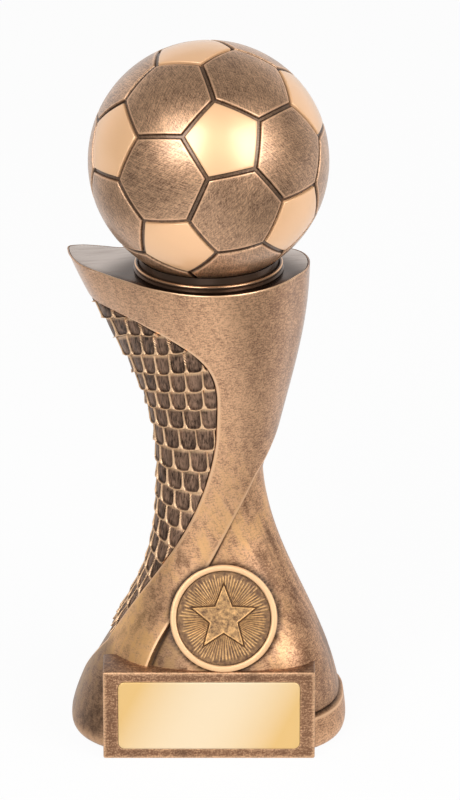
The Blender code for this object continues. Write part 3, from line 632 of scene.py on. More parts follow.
def tower_levels():
    """Heights of the tower's rows, from the rounded foot to under the rim, and how far each is pulled in."""
    turn = np.linspace(0, np.pi / 2, FOOT_ROWS)
    tall, inwards = FOOT_ROUND
    foot = FLOOR + tall * (1 - np.cos(turn))
    pull = inwards * (1 - np.sin(turn))
    rim = FOOT_RIM - np.array([5.0, 4.0, 3.0, 2.0, 1.4, 1.0, 0.7, 0.45, 0.25, 0.1, 0.0])
    gap = FOOT_RIM + np.array([0.12, 0.25, 0.4, 0.55, 0.7, 0.85, 1.0, 1.3, 1.7, 2.2])
    crowd = np.linspace(1, 0, TOWER_ROWS)[1:] ** 1.6
    main = RECESS_TOP - (RECESS_TOP - gap[-1]) * crowd
    top = RECESS_TOP + np.array([0.15, 0.3, 0.6, 1.2, 2.0, 3.2, 4.6, 6.0, 7.4, 8.6, 9.4, 9.9])
    heights = np.concatenate([foot, rim, gap, main, top])
    return heights, np.concatenate([pull, np.zeros(len(heights) - len(pull))])


def tower_columns(height):
    """Angles of the columns, crowded at the band's edges; which are on the band; and both edges' angles."""
    level = np.clip(height, FOOT_RIM, RECESS_TOP)
    start = lower_edge(level)
    end = upper_edge(level) + 2 * np.pi
    across = (1 - np.cos(np.linspace(0, np.pi, RECESS_COLUMNS))) / 2
    over = (1 - np.cos(np.linspace(0, np.pi, BAND_COLUMNS)[1:-1])) / 2
    recess = start + (end - start) * across
    band = end + (start + 2 * np.pi - end) * over
    angle = np.concatenate([recess, band], axis=1)
    on_band = np.arange(angle.shape[1])[None] >= len(across)
    return angle, on_band, start, end


def tower_surface(settings):
    """The tower: core radius plus the band's height, less a recess whose sides follow the band's two edges.

    Across an edge the height falls by a smooth step over the wall's width. The foot rim and the cup's rim
    close the recess below and above in the same way, with a fine groove over the foot rim. The masks say
    where the surface is worn bright, where the band's edges and the foot rim carry a painted highlight, and
    where painted shade darkens it.
    """
    heights, pull = tower_levels()
    height = heights[:, None]
    angle, on_band, start, end = tower_columns(height)
    recess = np.where(on_band, 0.0, 1.0)
    core = core_radius(angle, height)
    level = np.clip(height, FOOT_RIM, RECESS_TOP)
    turn = np.minimum(np.abs(angle - start), np.abs(angle - start - 2 * np.pi))
    from_lower = turn * core / slant(lower_edge, level)
    from_upper = np.abs(angle - end) * core / slant(upper_edge, level)
    near = np.minimum(from_lower, from_upper)
    open_part = smooth(height, FOOT_RIM, FOOT_RIM + RECESS_FADE[0])
    open_part = open_part * smooth(RECESS_TOP - height, 0.0, RECESS_FADE[1])
    proud = RIM_PROUD + (settings.band_proud - RIM_PROUD) * smooth(height, FOOT_RIM, FOOT_RIM + RIM_FADE)
    along_rim = recess * smooth(near, *EDGE_FADE)
    groove = along_rim * hump(height - FOOT_RIM, *RIM_GROOVE[:2])
    rim_edge = along_rim * hump(height - FOOT_RIM, *RIM_EDGE)
    sunk = recess * open_part
    radius = core + proud * (1 - sunk * smooth(near / settings.edge_wall))
    radius = radius - settings.edge_round * hump(near, 0.0, EDGE_SOFT) * open_part
    radius = radius - EDGE_GROOVE[2] * sunk * hump(from_lower, *EDGE_GROOVE[:2]) - RIM_GROOVE[2] * groove
    leftness = smooth(-np.cos(angle), 0.2, 0.9)
    body = round_point(angle, radius - pull[:, None] * (1 + FOOT_ROUND_LEFT * leftness), height)
    # Rubbed gold that is also a painted highlight: lines along the band's edges and the foot rim's top.
    lit_edge = hump(near, *LIT_EDGE) * (1 - recess) * open_part
    foot_wear = 0.35 * hump(height, *FOOT_WEAR)
    wear_and_highlight = np.maximum(np.maximum(lit_edge, rim_edge), foot_wear)
    shade = np.maximum(sunk * hump(near, *EDGE_SHADE), groove)
    # Painted shade: dark in the recess by the band's lower edge low down, and just above the foot rim.
    fold_shade = 0.75 * sunk * np.exp(-((from_lower / FOLD_WIDTH) ** 4))
    fold_shade = fold_shade * smooth(FOLD_TOP - height, 0.0, FOLD_FADE)
    grime_and_shade = np.maximum(fold_shade, 0.6 * sunk * np.exp(-(height - FOOT_RIM) / RIM_SHADE_REACH))
    return body, wear_and_highlight, shade, grime_and_shade


def frontness(points):
    """1 on the front of the cup's rim, 0 behind."""
    return smooth(-points[..., 1], *RIM_FRONT)


def tower_ends(settings):
    """Rows that close the tower: the pad's recess under its foot, then the rim and the deck's recess."""
    heights, _ = tower_levels()
    foot_angle = tower_columns(heights[:1, None])[0][0]
    pad = round_point(foot_angle, oval_radius(foot_angle, PAD) + PAD_GAP, PAD_RECESS)
    under = np.stack([pad * (0, 0, 1), pad, pad - (0, 0, PAD_RECESS - FLOOR)])
    top_angle = tower_columns(heights[-1:, None])[0][0]
    rim = round_point(top_angle, cup_radius(top_angle), CUP_HEIGHT)
    steps = ((0.08, -0.25), (0.2, -0.08), (0.4, 0.0), (0.62, 0.0), (0.8, -0.06), (0.95, -0.2), (1.0, -0.5))
    rim = rim - (1 - frontness(rim))[:, None] * (0, 0, RIM_BACK_DROP)
    rows = [inset_ring(rim, share * settings.rim_width) + (0, 0, drop) for share, drop in steps]
    floor = CUP_HEIGHT - DECK_RECESS
    wall = np.linalg.norm(rows[-1][:, :2], axis=-1)
    inside = core_radius(top_angle, floor) + settings.band_proud - CUP_WALL
    rows.append(round_point(top_angle, np.minimum(wall, inside), floor))
    rows.append(np.broadcast_to((0, 0, floor), rim.shape))
    return under, np.stack(rows)


def medal_reach(points):
    """Points in the medallion's frame, and their distances from its axis."""
    local = to_medal(points)
    return local, np.hypot(local[..., 0], local[..., 1])


def clear_neighbours(points):
    """Pushes the tower's surface back behind the medallion's cup and the plinth's front."""
    local, reach = medal_reach(points)
    inside = 1 - smooth(reach, MEDAL_RADIUS - 1.2, MEDAL_RADIUS - 0.4)
    before = points[..., 1] < MEDAL_SIDE
    local[..., 2] -= np.where(before, np.maximum(local[..., 2] - MEDAL_BED, 0.0) * inside, 0.0)
    points = from_medal(local)
    within = (np.abs(points[..., 0]) < PLINTH_HALF_WIDTH - 0.6) & (points[..., 2] < PLINTH_TOP - 0.4)
    points[..., 1] = np.where(within, np.maximum(points[..., 1], PLINTH_BED), points[..., 1])
    return points


def build_tower(settings):
    """The whole tower grid with its masks: worn edges with painted highlights, painted shade in the creases
    and by the medallion and plinth.
    """
    body, wear_and_highlight, shade, grime_and_shade = tower_surface(settings)
    under, rim = tower_ends(settings)
    points = clear_neighbours(np.concatenate([under, body, rim]))
    blank = np.zeros((len(under), body.shape[1]))
    row = np.arange(len(rim))[:, None]
    wear_and_highlight = np.concatenate([blank, wear_and_highlight, frontness(rim) * (row < 5)])
    shade = np.concatenate([blank + 1.0, shade, 0.3 * (1 - frontness(rim)) * (row > 2)])
    grime_and_shade = np.concatenate([blank, grime_and_shade, np.zeros((len(rim), body.shape[1]))])
    _, reach = medal_reach(points)
    reach = reach - MEDAL_RADIUS
    facing = (points[..., 1] < 0) & (reach > -1.0)
    # Painted shade round the medallion: a dark line at its edge and a darkening that fades over the tower.
    shade = np.maximum(shade, np.where(facing, hump(reach, *MEDAL_SHADE), 0.0))
    grime_and_shade = np.maximum(grime_and_shade, np.where(facing, 0.7 * np.exp(-np.maximum(reach, 0.0) / MEDAL_SHADE_REACH), 0.0))
    across, depth, height = np.moveaxis(points, -1, 0)
    # Painted shade on the foot to the left of the plinth, low down and towards the front.
    beside_plinth_shade = 0.62 * smooth(-across, *PLINTH_SHADE_SIDE) * smooth(PLINTH_SHADE_TOP - height, 0.0, 9.0)
    grime_and_shade = np.maximum(grime_and_shade, beside_plinth_shade * smooth(PLINTH_SHADE_BACK - depth, 0.0, 10.0))
    return points, {"wear_and_highlight": wear_and_highlight, "shade": shade, "grime_and_shade": grime_and_shade}


def scale_rows(settings):
    """Heights and the number of rows above each, counted from the panel's top; waist rows are taller."""
    level = np.linspace(0.0, CUP_HEIGHT + 10.0, SCALE_LEVELS)
    rate = 1 / (settings.pitch + settings.swell * hump(level, *SCALE_SWELL))
    count = np.concatenate([[0.0], np.cumsum((rate[1:] + rate[:-1]) / 2 * np.diff(level))])
    return level, np.interp(SCALE_TOP_LIP, level, count) - count


def scale_lines(settings, falls, share):
    """Angles and heights of the points a share of the way along each row's line.

    A row's line leaves the band's edge at its own height and climbs or falls by a slope times the arc from
    the edge. The height where a line crosses a column is found by halving.
    """
    level, count = scale_rows(settings)
    start = np.interp(-falls, -count, level)
    slope = np.clip((SCALE_LEVEL_ROW - start) * SCALE_TILT, *SCALE_TILT_LIMITS)
    rear = math.radians(SCALES_REAR)
    low = np.full((len(falls), share.size), SCALES_LOW)
    high = np.full_like(low, SCALES_HIGH)
    for _ in range(SCALE_HALVINGS):
        height = (low + high) / 2
        edge = upper_edge(height)
        edge = edge - settings.gap * slant(upper_edge, height) / core_radius(edge, height)
        angle = rear + np.maximum(edge - rear, 0.02) * share
        arc = (upper_edge(np.minimum(height, SCALE_TOP_LIP)) - angle) * core_radius(angle, height)
        above = height > start + slope * arc
        low, high = np.where(above, low, height), np.where(above, height, high)
    return angle, height


def scale_cells(settings, falls, angle, height):
    """Each point's share of its row and of its cell, with a chance number for each cell.

    Cells are counted along a row from a line of ridges that swings to the left as it goes down.
    """
    row = np.floor(falls + 1e-9)
    lean = np.broadcast_to(falls - row, height.shape)
    row_middle = height + (lean - 0.5) * (settings.pitch + settings.swell * hump(height, *SCALE_SWELL))
    level, rate, power = RIDGE_SWING
    column = np.radians(RIDGE_START - rate * np.maximum(level - row_middle, 0.0) ** power)
    cell = (angle - column) * core_radius(np.radians(RIDGE_MEASURE), row_middle) / settings.cell
    cell = cell - 0.1 * (lean - 0.5)
    return lean, cell - np.floor(cell), scatter(np.floor(cell), row)


def build_scales(settings):
    """The scales: rows that lean out to bowed lower edges, cut into cells by ridges that flare at the foot.

    Height over the core = root + lean x share of the row, plus the height of ridges and lower edges, plus
    a low crown in each cell.
    """
    last = np.interp(SCALES_LOW, *scale_rows(settings))
    upper = (0, 0.02, 0.05, 0.09, 0.18, 0.3, 0.44, 0.58)
    steps = np.array([*upper, 0.68, 0.76, 0.83, 0.88, 0.92, 0.95, 0.97, 0.99])
    falls = (np.arange(-4, math.ceil(last))[:, None] + steps[None]).ravel()
    falls = np.append(falls[falls < last], last)[:, None]
    share = np.linspace(0, 1, SCALE_COLUMNS)[None]
    angle, height = scale_lines(settings, falls, share)
    core = core_radius(angle, height)
    lean, place, chance = scale_cells(settings, falls, angle, height)
    border = np.minimum(place, 1 - place) * settings.cell
    half_width = (0.04 + 0.1 * lean) * (0.6 + 0.8 * chance) + 0.55 * smooth(lean, 0.72, 1.0) ** 2
    ridge = 1 - smooth(border, half_width, half_width + 0.2)
    lip = smooth(lean, 0.93, 0.97)
    hollow = 1 - np.maximum(ridge, lip)
    over = settings.root + (settings.tip - settings.root) * lean + settings.ridge * (1 - hollow)
    over = over + 0.3 * hollow * np.sin(np.pi * place) * np.sin(np.pi * lean)
    top = SCALES_HIGH - height
    over = SCALE_EDGE + (over - SCALE_EDGE) * smooth(share, 0.0, 0.03) * smooth(top, 0.0, 0.4)
    bow = (0.35 + 0.4 * chance) * np.sin(np.pi * place) * smooth(lean, 0.5, 1.0) * smooth(top, 0.0, 2.0)
    bow = bow * smooth(height, SCALES_LOW, SCALES_LOW + 3.0)
    front = round_point(angle, core + SCALE_SEAT + over, height - bow)
    back_columns = np.linspace(SCALE_COLUMNS - 1, 0, SCALE_BACK_COLUMNS).astype(int)
    under = round_point(angle, core + SCALE_BACK, height)
    points = np.concatenate([front, under[:, back_columns]], axis=1)
    middle = (front + under) / 2
    for end in (0, -1):
        points[end] = np.concatenate([middle[end], middle[end][back_columns]])
    dusty = (0.4 + 0.35 * chance) * (1 - smooth(lean, 0.08, 0.35)) * hollow
    wear_and_highlight = np.maximum(np.maximum(ridge, 0.75 * lip), dusty)
    right_side = smooth(place, 0.45, 0.9) * smooth(lean, 0.2, 0.6) * hollow
    shade = 0.85 * np.maximum(right_side, hollow * smooth(lean, 0.75, 0.92))
    shade = np.maximum(shade, 1 - smooth(lean, 0.02, 0.08))
    blank = np.zeros((len(points), len(back_columns)))
    masks = {"wear_and_highlight": wear_and_highlight, "shade": shade, "tone": chance}
    return points, {key: np.concatenate([mask, blank], axis=1) for key, mask in masks.items()}


def ball_panels(tilt):
    """Corners of the pentagons (12, 5, 3) and hexagons (20, 6, 3) of a ball of radius 1, already tilted.

    Each third point on an icosahedron's edge is a corner: two parts of the near end and one of the far end.
    """
    golden = (1 + math.sqrt(5)) / 2
    signs = np.array(list(itertools.product((-1, 1), (-golden, golden))))
    flat = np.column_stack([np.zeros(4), signs])
    tips = unit(np.concatenate([np.roll(flat, turn, axis=1) for turn in range(3)]))
    tips = tips @ np.array(Euler(tilt).to_matrix()).T
    apart = np.linalg.norm(tips[:, None] - tips[None], axis=-1)
    near = np.argsort(apart, axis=1)[:, 1:6]
    pentagons = unit(2 * tips[:, None] + tips[near])
    middle = tips[:, None]
    side = unit(pentagons[:, :1] - middle * np.sum(pentagons[:, :1] * middle, axis=-1, keepdims=True))
    other = np.cross(middle, side)
    turn = np.arctan2(np.sum(pentagons * other, axis=-1), np.sum(pentagons * side, axis=-1))
    pentagons = np.take_along_axis(pentagons, np.argsort(turn, axis=1)[..., None], axis=1)
    joined = apart < 1.2
    threes = itertools.combinations(range(12), 3)
    threes = np.array([t for t in threes if all(joined[a, b] for a, b in itertools.combinations(t, 2))])
    starts = threes[:, [0, 1, 1, 2, 2, 0]]
    ends = threes[:, [1, 0, 2, 1, 0, 2]]
    return pentagons, unit(2 * tips[starts] + tips[ends])


def panel_grid(corners, levels, radius, segments=10):
    """Panels as rings about their middles; each level is (distance from the seam, height over the ball)."""
    middle = unit(corners.mean(axis=1))[:, None]
    step = np.linspace(0, 1, segments, endpoint=False)[None, None, :, None]
    following = np.roll(corners, -1, axis=1)
    edge = unit(corners[:, :, None] * (1 - step) + following[:, :, None] * step)
    edge = edge.reshape(len(corners), -1, 3)
    half_way = unit(corners[:, 0] + corners[:, 1])
    apothem = np.linalg.norm(middle[:, 0] - half_way, axis=-1) * radius
    inset = np.array([level[0] for level in levels], float)
    keep = np.clip(1 - inset[None] / apothem[:, None], 0, 1)[..., None, None]
    ring = unit(middle[:, None] + (edge - middle)[:, None] * keep)
    lift = radius + np.array([level[1] for level in levels], float)
    return ring * lift[None, :, None, None], inset[None, :, None]


def seam_levels(settings):
    """A panel from its seam's bottom, over a rounded shoulder, to its middle."""
    close = [0, 0.2, 0.3, 0.38, 0.44, 0.5, 0.56, 0.62, 0.7, 0.8, 0.95, 1.2]
    inset = np.array([*close, 1.6, 2.4, 3.6, 5.0, 6.6, 8.4, 10.2, PANEL_MIDDLE])
    half = settings.seam_width / 2
    depth = settings.seam_depth * (1 - smooth(inset, half * 0.5, half * 1.05))
    return list(zip(inset, -depth))


def brush_lines(points, corners, rng):
    """Distances in mm along and across a brushing direction of each panel's own."""
    middle = unit(corners.mean(axis=1))
    along = unit(np.cross(middle, rng.normal(size=middle.shape)))
    across = np.cross(middle, along)
    return {
        "along": np.sum(points * along[:, None, None], axis=-1),
        "across": np.sum(points * across[:, None, None], axis=-1),
    }


def build_ball(settings):
    """The ball's shell: raised hexagons, grooves, and a sunk pocket under each polished pentagon."""
    pentagons, hexagons = ball_panels(settings.tilt)
    lowest = np.argmin(pentagons.mean(axis=1)[:, 2])
    plain = pentagons[lowest : lowest + 1]
    pockets = np.delete(pentagons, lowest, axis=0)
    deep = settings.inlay_depth + INLAY_GAP
    bottom = settings.seam_depth
    pocket_levels = [(inset, -bottom) for inset in (0, 0.2, 0.32)]
    pocket_levels += [(inset, -deep) for inset in (0.36, 3.0, PANEL_MIDDLE)]
    raised = seam_levels(settings)
    grids = []
    rng = np.random.default_rng(BRUSH_SEED)
    for corners, levels in ((hexagons, raised), (plain, raised), (pockets, pocket_levels)):
        points, inset = panel_grid(corners, levels, settings.radius)
        masks = {
            "wear_and_highlight": hump(inset, 0.9, 0.22),
            "shade": np.maximum(hump(inset, 0.45, 0.2), 0.7 * (1 - smooth(inset, 0.3, 0.6))),
            "tone": rng.random(len(corners))[:, None, None],
            **brush_lines(points, corners, rng),
        }
        grids.append((points + (0, 0, BALL_HEIGHT), masks))
    return grids, pockets


def inlay_levels(settings):
    """A polished pentagon from the middle of its back, round its edge, to the middle of its face."""
    deep = settings.inlay_depth
    side = [(0.44, -deep), (0.42, -1.0), (0.5, -0.4), (0.57, -0.16), (0.66, -0.05), (0.8, -0.01)]
    face = [(inset, 0.0) for inset in (1.1, 2.0, 3.2, 4.6, 6.2, PANEL_MIDDLE)]
    return [(PANEL_MIDDLE, -deep), (3.0, -deep), *side, *face]


def turned(profile, segments=144):
    """A profile of (radius, height) carried round Z."""
    angle = np.linspace(0, 2 * np.pi, segments, endpoint=False)[None]
    radius = np.array([point[0] for point in profile], float)[:, None]
    height = np.array([point[1] for point in profile], float)[:, None]
    return round_point(angle, radius, height)


def build_collar(settings):
    """The collar: a dish that follows the ball, a rounded lip with a bright line, a cove and a spigot."""
    top = DECK_TOP + settings.collar_rise
    outer = settings.collar_radius
    ball = bpy.context.scene.trophy_ball.radius + COLLAR_GAP
    reach = np.linspace(COLLAR_DISH, COLLAR_HOLE, COLLAR_ROWS)
    dish = [(r, BALL_HEIGHT - math.sqrt(ball**2 - r**2)) for r in reach]
    base = BALL_HEIGHT - ball - COLLAR_FLOOR
    bend = np.linspace(-0.9, 3.2, COLLAR_ROWS)
    lip = [(outer - 0.7 + COLLAR_LIP * math.cos(t), top + COLLAR_LIP * (math.sin(t) - 1)) for t in bend]
    foot = DECK_TOP + 0.05
    cove = [(outer - 0.1, foot), (outer + 0.05, foot + 0.3), (outer - 0.35, foot + 0.7)]
    spigot = [(COLLAR_HOLE, base), (COLLAR_SPIGOT, base), (COLLAR_SPIGOT, foot)]
    profile = [*dish, *spigot, *cove, *lip]
    # The lip's bright line is rubbed copper and also a painted highlight.
    bright = np.concatenate([np.zeros(len(profile) - len(bend)), hump(bend, 0.85, 0.4)])
    return turned(profile), {"wear_and_highlight": bright[:, None]}


def build_deck(settings):
    """The deck: the cup's outline inset by the rim, with a rounded edge and an opening for the collar."""
    angle = np.linspace(0, 2 * np.pi, DECK_COLUMNS, endpoint=False)
    outline = round_point(angle, cup_radius(angle), 0.0)
    edge = inset_ring(outline, settings.rim_width + DECK_GAP)
    hole = round_point(angle, DECK_HOLE, 0.0)
    inside = core_radius(angle, DECK_FLOOR) + settings.band_proud - DECK_WALL
    lower = np.minimum(inside, np.linalg.norm(edge[:, :2], axis=-1) * 0.93)
    rows = [
        hole + (0, 0, DECK_FLOOR),
        round_point(angle, lower, DECK_FLOOR),
        edge * 0.985 + (0, 0, DECK_TOP - 0.6),
        edge + (0, 0, DECK_TOP - 0.2),
        edge * 0.996 + (0, 0, DECK_TOP - 0.05),
        edge * 0.985 + (0, 0, DECK_TOP),
        edge * 0.9 + (0, 0, DECK_TOP),
        hole + (0, 0, DECK_TOP),
    ]
    return np.stack(rows), {}


def build_medal_cup(settings):
    """The medallion's cup: a flat back, a rounded bright lip and a floor for the insert."""
    outer, inner = MEDAL_RADIUS, settings.disc_radius
    back = [(0, MEDAL_BACK), (outer - 0.5, MEDAL_BACK), (outer, MEDAL_BACK + 0.4)]
    rise = [(outer, -0.55), (outer - 0.06, -0.25), (outer - 0.25, -0.06), (outer - 0.5, 0.0)]
    fall = [(inner + 0.5, 0.0), (inner + 0.22, -0.06), (inner + 0.06, -0.25), (inner, -0.6)]
    floor = [(inner, MEDAL_FLOOR), (0, MEDAL_FLOOR)]
    return from_medal(turned(back + rise + fall + floor)), {}


def star_distance(across, up, settings):
    """Distance inside the star's outline: the plane is folded into half a point, whose edge is one line."""
    sector = math.pi / 5
    turn = np.arctan2(across, up)
    folded = np.abs(np.mod(turn + sector, 2 * sector) - sector)
    reach = np.hypot(across, up)
    along, aside = reach * np.cos(folded), reach * np.sin(folded)
    corner = settings.star_waist * np.array([math.cos(sector), math.sin(sector)])
    edge = corner - (settings.star_radius, 0.0)
    return ((settings.star_radius - along) * edge[1] + aside * edge[0]) / np.linalg.norm(edge)


def build_star_disc(settings):
    """The insert: a disc with a raised star and fine rays that stand as ridges between dark grooves."""
    edge = settings.disc_radius - DISC_GAP
    reach = np.concatenate([[0, edge, edge], np.linspace(edge - 0.05, 0, DISC_ROWS)])[:, None]
    angle = np.linspace(0, 2 * np.pi, settings.rays * RAY_COLUMNS, endpoint=False)[None]
    reach, angle = np.broadcast_arrays(reach, angle)
    across, up = reach * np.cos(angle), reach * np.sin(angle)
    inside = star_distance(across, up, settings)
    star = smooth(inside, -0.08, 0.1)
    outline = hump(inside, 0.24, 0.14)
    moat = hump(inside, -0.12, 0.14)
    wobble = 0.5 * np.sin(3 * angle + 0.4) + 0.35 * np.sin(7 * angle + 1.3)
    phase = settings.rays * angle + 3 * wobble
    chance = scatter(np.floor(phase / (2 * np.pi) + 0.5))
    ray_end = edge - 0.1 - 1.5 * chance
    beam = (0.5 + 0.5 * np.cos(phase)) ** 2 * (0.6 + 0.4 * chance)
    beam = beam * (1 - smooth(reach, ray_end - 0.8, ray_end + 0.2)) * (1 - star) * (1 - moat)
    height = DISC_FACE + 0.25 * star + 0.1 * outline - 0.2 * moat + 0.18 * beam
    height[0], height[1], height[2] = DISC_BACK, DISC_BACK, DISC_EDGE
    points = from_medal(np.stack([across, up, height], axis=-1))
    wear_and_highlight = np.clip(0.9 * beam + 0.1 * star + 0.5 * outline, 0, 1)
    shade = np.clip(0.75 * (1 - star) * (1 - beam) + moat, 0, 1)
    return points, {"wear_and_highlight": wear_and_highlight, "shade": shade}


def rectangle_rings(rows, segments=8, side=24):
    """Rounded rectangles in X and Z about the plinth's middle from half width, half height, corner and Y."""
    width, height, corner, depth = np.array(rows, float).T[:, :, None]
    bend = np.linspace(0, np.pi / 2, segments)
    between = np.linspace(0, 1, side + 2)[1:-1]
    arcs = []
    for quarter, (right, top) in enumerate(((1, 1), (-1, 1), (-1, -1), (1, -1))):
        turn = bend + quarter * np.pi / 2
        sideways = right * (width - corner) + corner * np.cos(turn)
        upwards = top * (height - corner) + corner * np.sin(turn)
        arcs.append((sideways, upwards))
    across, up = [], []
    for here, following in zip(arcs, arcs[1:] + arcs[:1]):
        for path, start, end in zip((across, up), here, following):
            path += [start, start[:, -1:] + (end[:, :1] - start[:, -1:]) * between]
    across, up = np.concatenate(across, axis=1), np.concatenate(up, axis=1)
    return np.stack([across, np.broadcast_to(depth, across.shape), up + PLINTH_MIDDLE], axis=-1)


def build_plinth(settings):
    """The plinth's block with softened edges and a shallow pocket for the plate in its flat front."""
    wide, tall, front = PLINTH_HALF_WIDTH, PLINTH_HALF_HEIGHT, PLINTH_FRONT
    floor = front + PLATE_POCKET
    outer = [(0.6, PLINTH_BACK), (0.15, PLINTH_BACK - 0.15), (0.0, PLINTH_BACK - 0.6), (0.0, front + 0.45)]
    outer += [(0.04, front + 0.22), (0.14, front + 0.07)]
    outer += [(inset, front) for inset in (0.32, 0.6, 1.0, 1.6)]
    rows = [(0, 0, 0, PLINTH_BACK)]
    rows += [(wide - inset, tall - inset, 0.5, depth) for inset, depth in outer]
    opening = np.array([settings.width / 2, settings.height / 2, settings.corner]) + PLATE_GAP
    inner = ((0.5, front), (0.12, front), (0.03, front + 0.06), (0.0, front + 0.2), (0.0, floor))
    rows += [(*(opening + grow), depth) for grow, depth in inner]
    rows.append((0, 0, 0, floor))
    # An even darkening over the whole block, stronger over its back's rim and its four side faces.
    wear_and_highlight, shade, grime_and_shade = np.zeros((len(rows), 1)), np.zeros((len(rows), 1)), np.full((len(rows), 1), 0.22)
    wear_and_highlight[4:10, 0] = (0.2, 0.65, 0.65, 0.65, 0.4, 0.1)
    wear_and_highlight[11:14, 0] = (0.1, 0.45, 0.45)
    shade[13:, 0] = (0.2, 0.7, 1.0, 1.0)
    grime_and_shade[1:5] = 0.45
    return rectangle_rings(rows), {"wear_and_highlight": wear_and_highlight, "shade": shade, "grime_and_shade": grime_and_shade}


def build_plate(settings):
    """The engraving plate: a thin sheet with round corners and a bevelled edge."""
    front, back = -settings.front, -settings.front + settings.thickness
    wide, tall, corner = settings.width / 2, settings.height / 2, settings.corner
    edge = [(0.2, back), (0.0, back - 0.12), (0.0, front + 0.15), (0.1, front + 0.04)]
    face = [(0.28, front), (1.0, front)]
    rows = [(wide - inset, tall - inset, corner - inset, depth) for inset, depth in edge + face]
    return rectangle_rings([(0, 0, 0, back), *rows, (0, 0, 0, front)]), {}


def bronze_finish(name, colours, rubbing, speck_waves, contrast, gilded):
    """Antique bronze: brown with gold rubbed over in hairlines and along its edges, in places a painted
    highlight, and a dark brown painted into its recesses and creases as shade.

    A gilded piece also has soft streaks and patches of gilding low down, fewer of them behind and on the
    right. Its gold is made brighter low down and on the lower left as painted light, and darker on the
    right side as painted shade.
    """
    made = Finish(name)
    hair = made.grain((700.0, 700.0, 3200.0), (0, 4, 0), detail=3.0, roughness=0.7)
    speck = made.grain(speck_waves, detail=2.0)
    streak = made.grain((420.0, 420.0, 55.0), (0, 26, 0), detail=3.0)
    cloud = made.grain((85.0, 85.0, 55.0), detail=4.0, roughness=0.6)
    wear_and_highlight, shade, grime_and_shade = made.mask("wear_and_highlight"), made.mask("shade"), made.mask("grime_and_shade")
    across, depth, height = made.axis("X"), made.axis("Y"), made.axis("Z")
    low = height.rise(*LOWER_TOWER)
    before = depth.rise(0.012, 0.0) * 0.75 + 0.25
    rub = (hair.rise(0.38, 0.62) * 0.4 + speck.rise(0.4, 0.6) * 0.4 - 0.4) * contrast
    if gilded:
        rub = rub + (streak.rise(0.25, 0.75) - 0.5) * (0.3 + low * 0.3) * before
        # Painted light and shade: the rubbing is brighter low down and darker over the right side.
        rub = rub + low * 0.15 - across.rise(0.008, 0.024) * 0.37
    rub = (rub + (cloud - 0.5) * 0.7 + rubbing + wear_and_highlight * 0.9).clip()
    colour = made.blend(rub, colours.bronze, colours.rubbed)
    wash = (cloud * 0.75 + streak * 0.25).rise(0.5, 0.34) * low * before * 0.5
    colour = made.blend((wash * (1 - wear_and_highlight)).clip(), colour, colours.umber)
    if gilded:
        # Gilding low down, partly painted light: its patches thin out on the right, and more lies over the
        # lower left.
        gilt_and_highlight = (cloud * 0.6 + streak * 0.4).rise(0.48, 0.6) * before * (1 - across.rise(0.012, 0.026)) * 0.6
        gilt_and_highlight = gilt_and_highlight + across.rise(-0.012, -0.022) * height.rise(0.022, 0.03) * 0.5
        colour = made.blend((gilt_and_highlight * low).clip(), colour, colours.star)
    # Painted shade in the tower's creases and by the medallion and plinth, and the plinth's even darkening.
    dirt_and_shade = grime_and_shade * (0.8 + (cloud * 0.6 + hair * 0.4).rise(0.65, 0.35) * 0.2) * (1 - wear_and_highlight)
    colour = made.blend(dirt_and_shade.clip(), colour, colours.patina_and_shade)
    colour = made.blend((wear_and_highlight * wear_and_highlight * 0.7).clip(), colour, colours.ridge)
    colour = made.blend((shade * 0.9).clip(), colour, colours.patina_and_shade)
    return made.close(
        Base_Color=colour,
        Metallic=0.85,
        Roughness=(0.29 + hair * 0.16 + low * 0.12 + shade * 0.2).clip(),
        Coat_Weight=0.7 - low * 0.5,
        Coat_Roughness=0.28,
        Normal=made.bump(hair * 0.6 + speck * 0.4, 0.05, 0.45),
    )


def ball_finish(colours):
    """Brushed bronze of the hexagons: pale hair scratches whose direction changes from panel to panel."""
    made = Finish("ball_bronze")
    wear_and_highlight, shade, tone = made.mask("wear_and_highlight"), made.mask("shade"), made.mask("tone")
    along, across = made.mask("along"), made.mask("across")
    hair = made.lines(along, across, tone) * 0.4
    hair = hair + made.lines(along * 0.6 + across * 0.8, across * 0.6 - along * 0.8, tone + 3.0) * 0.3
    hair = hair + made.grain(2300.0, detail=2.0) * 0.3
    patch = made.grain(130.0, detail=3.0)
    rub = hair.rise(0.36, 0.64) * 0.85 + (patch - 0.5) * 0.6 + (tone - 0.5) * 0.1 + 0.04
    colour = made.blend((rub + wear_and_highlight * 0.7).clip(), colours.ball, colours.ball_light)
    colour = made.blend((shade * 0.95).clip(), colour, colours.patina_and_shade)
    return made.close(
        Base_Color=colour,
        Metallic=0.9,
        Roughness=(0.36 + hair * 0.14 + shade * 0.1).clip(),
        Coat_Weight=0.6,
        Coat_Roughness=0.25,
        Normal=made.bump(hair, 0.04, 0.4),
    )


def copper_finish(colours):
    """Polished copper-gold with a faint satin grain."""
    made = Finish("polished_copper")
    grain = made.grain(900.0, detail=2.0)
    cloud = made.grain(70.0, detail=2.0)
    colour = made.blend(cloud.rise(0.3, 0.7) * 0.3, colours.copper, colours.gold)
    return made.close(
        Base_Color=colour,
        Metallic=0.38,
        Roughness=(0.38 + grain * 0.1).clip(),
        Coat_Weight=0.8,
        Coat_Roughness=0.2,
        Normal=made.bump(grain, 0.01, 0.2),
    )


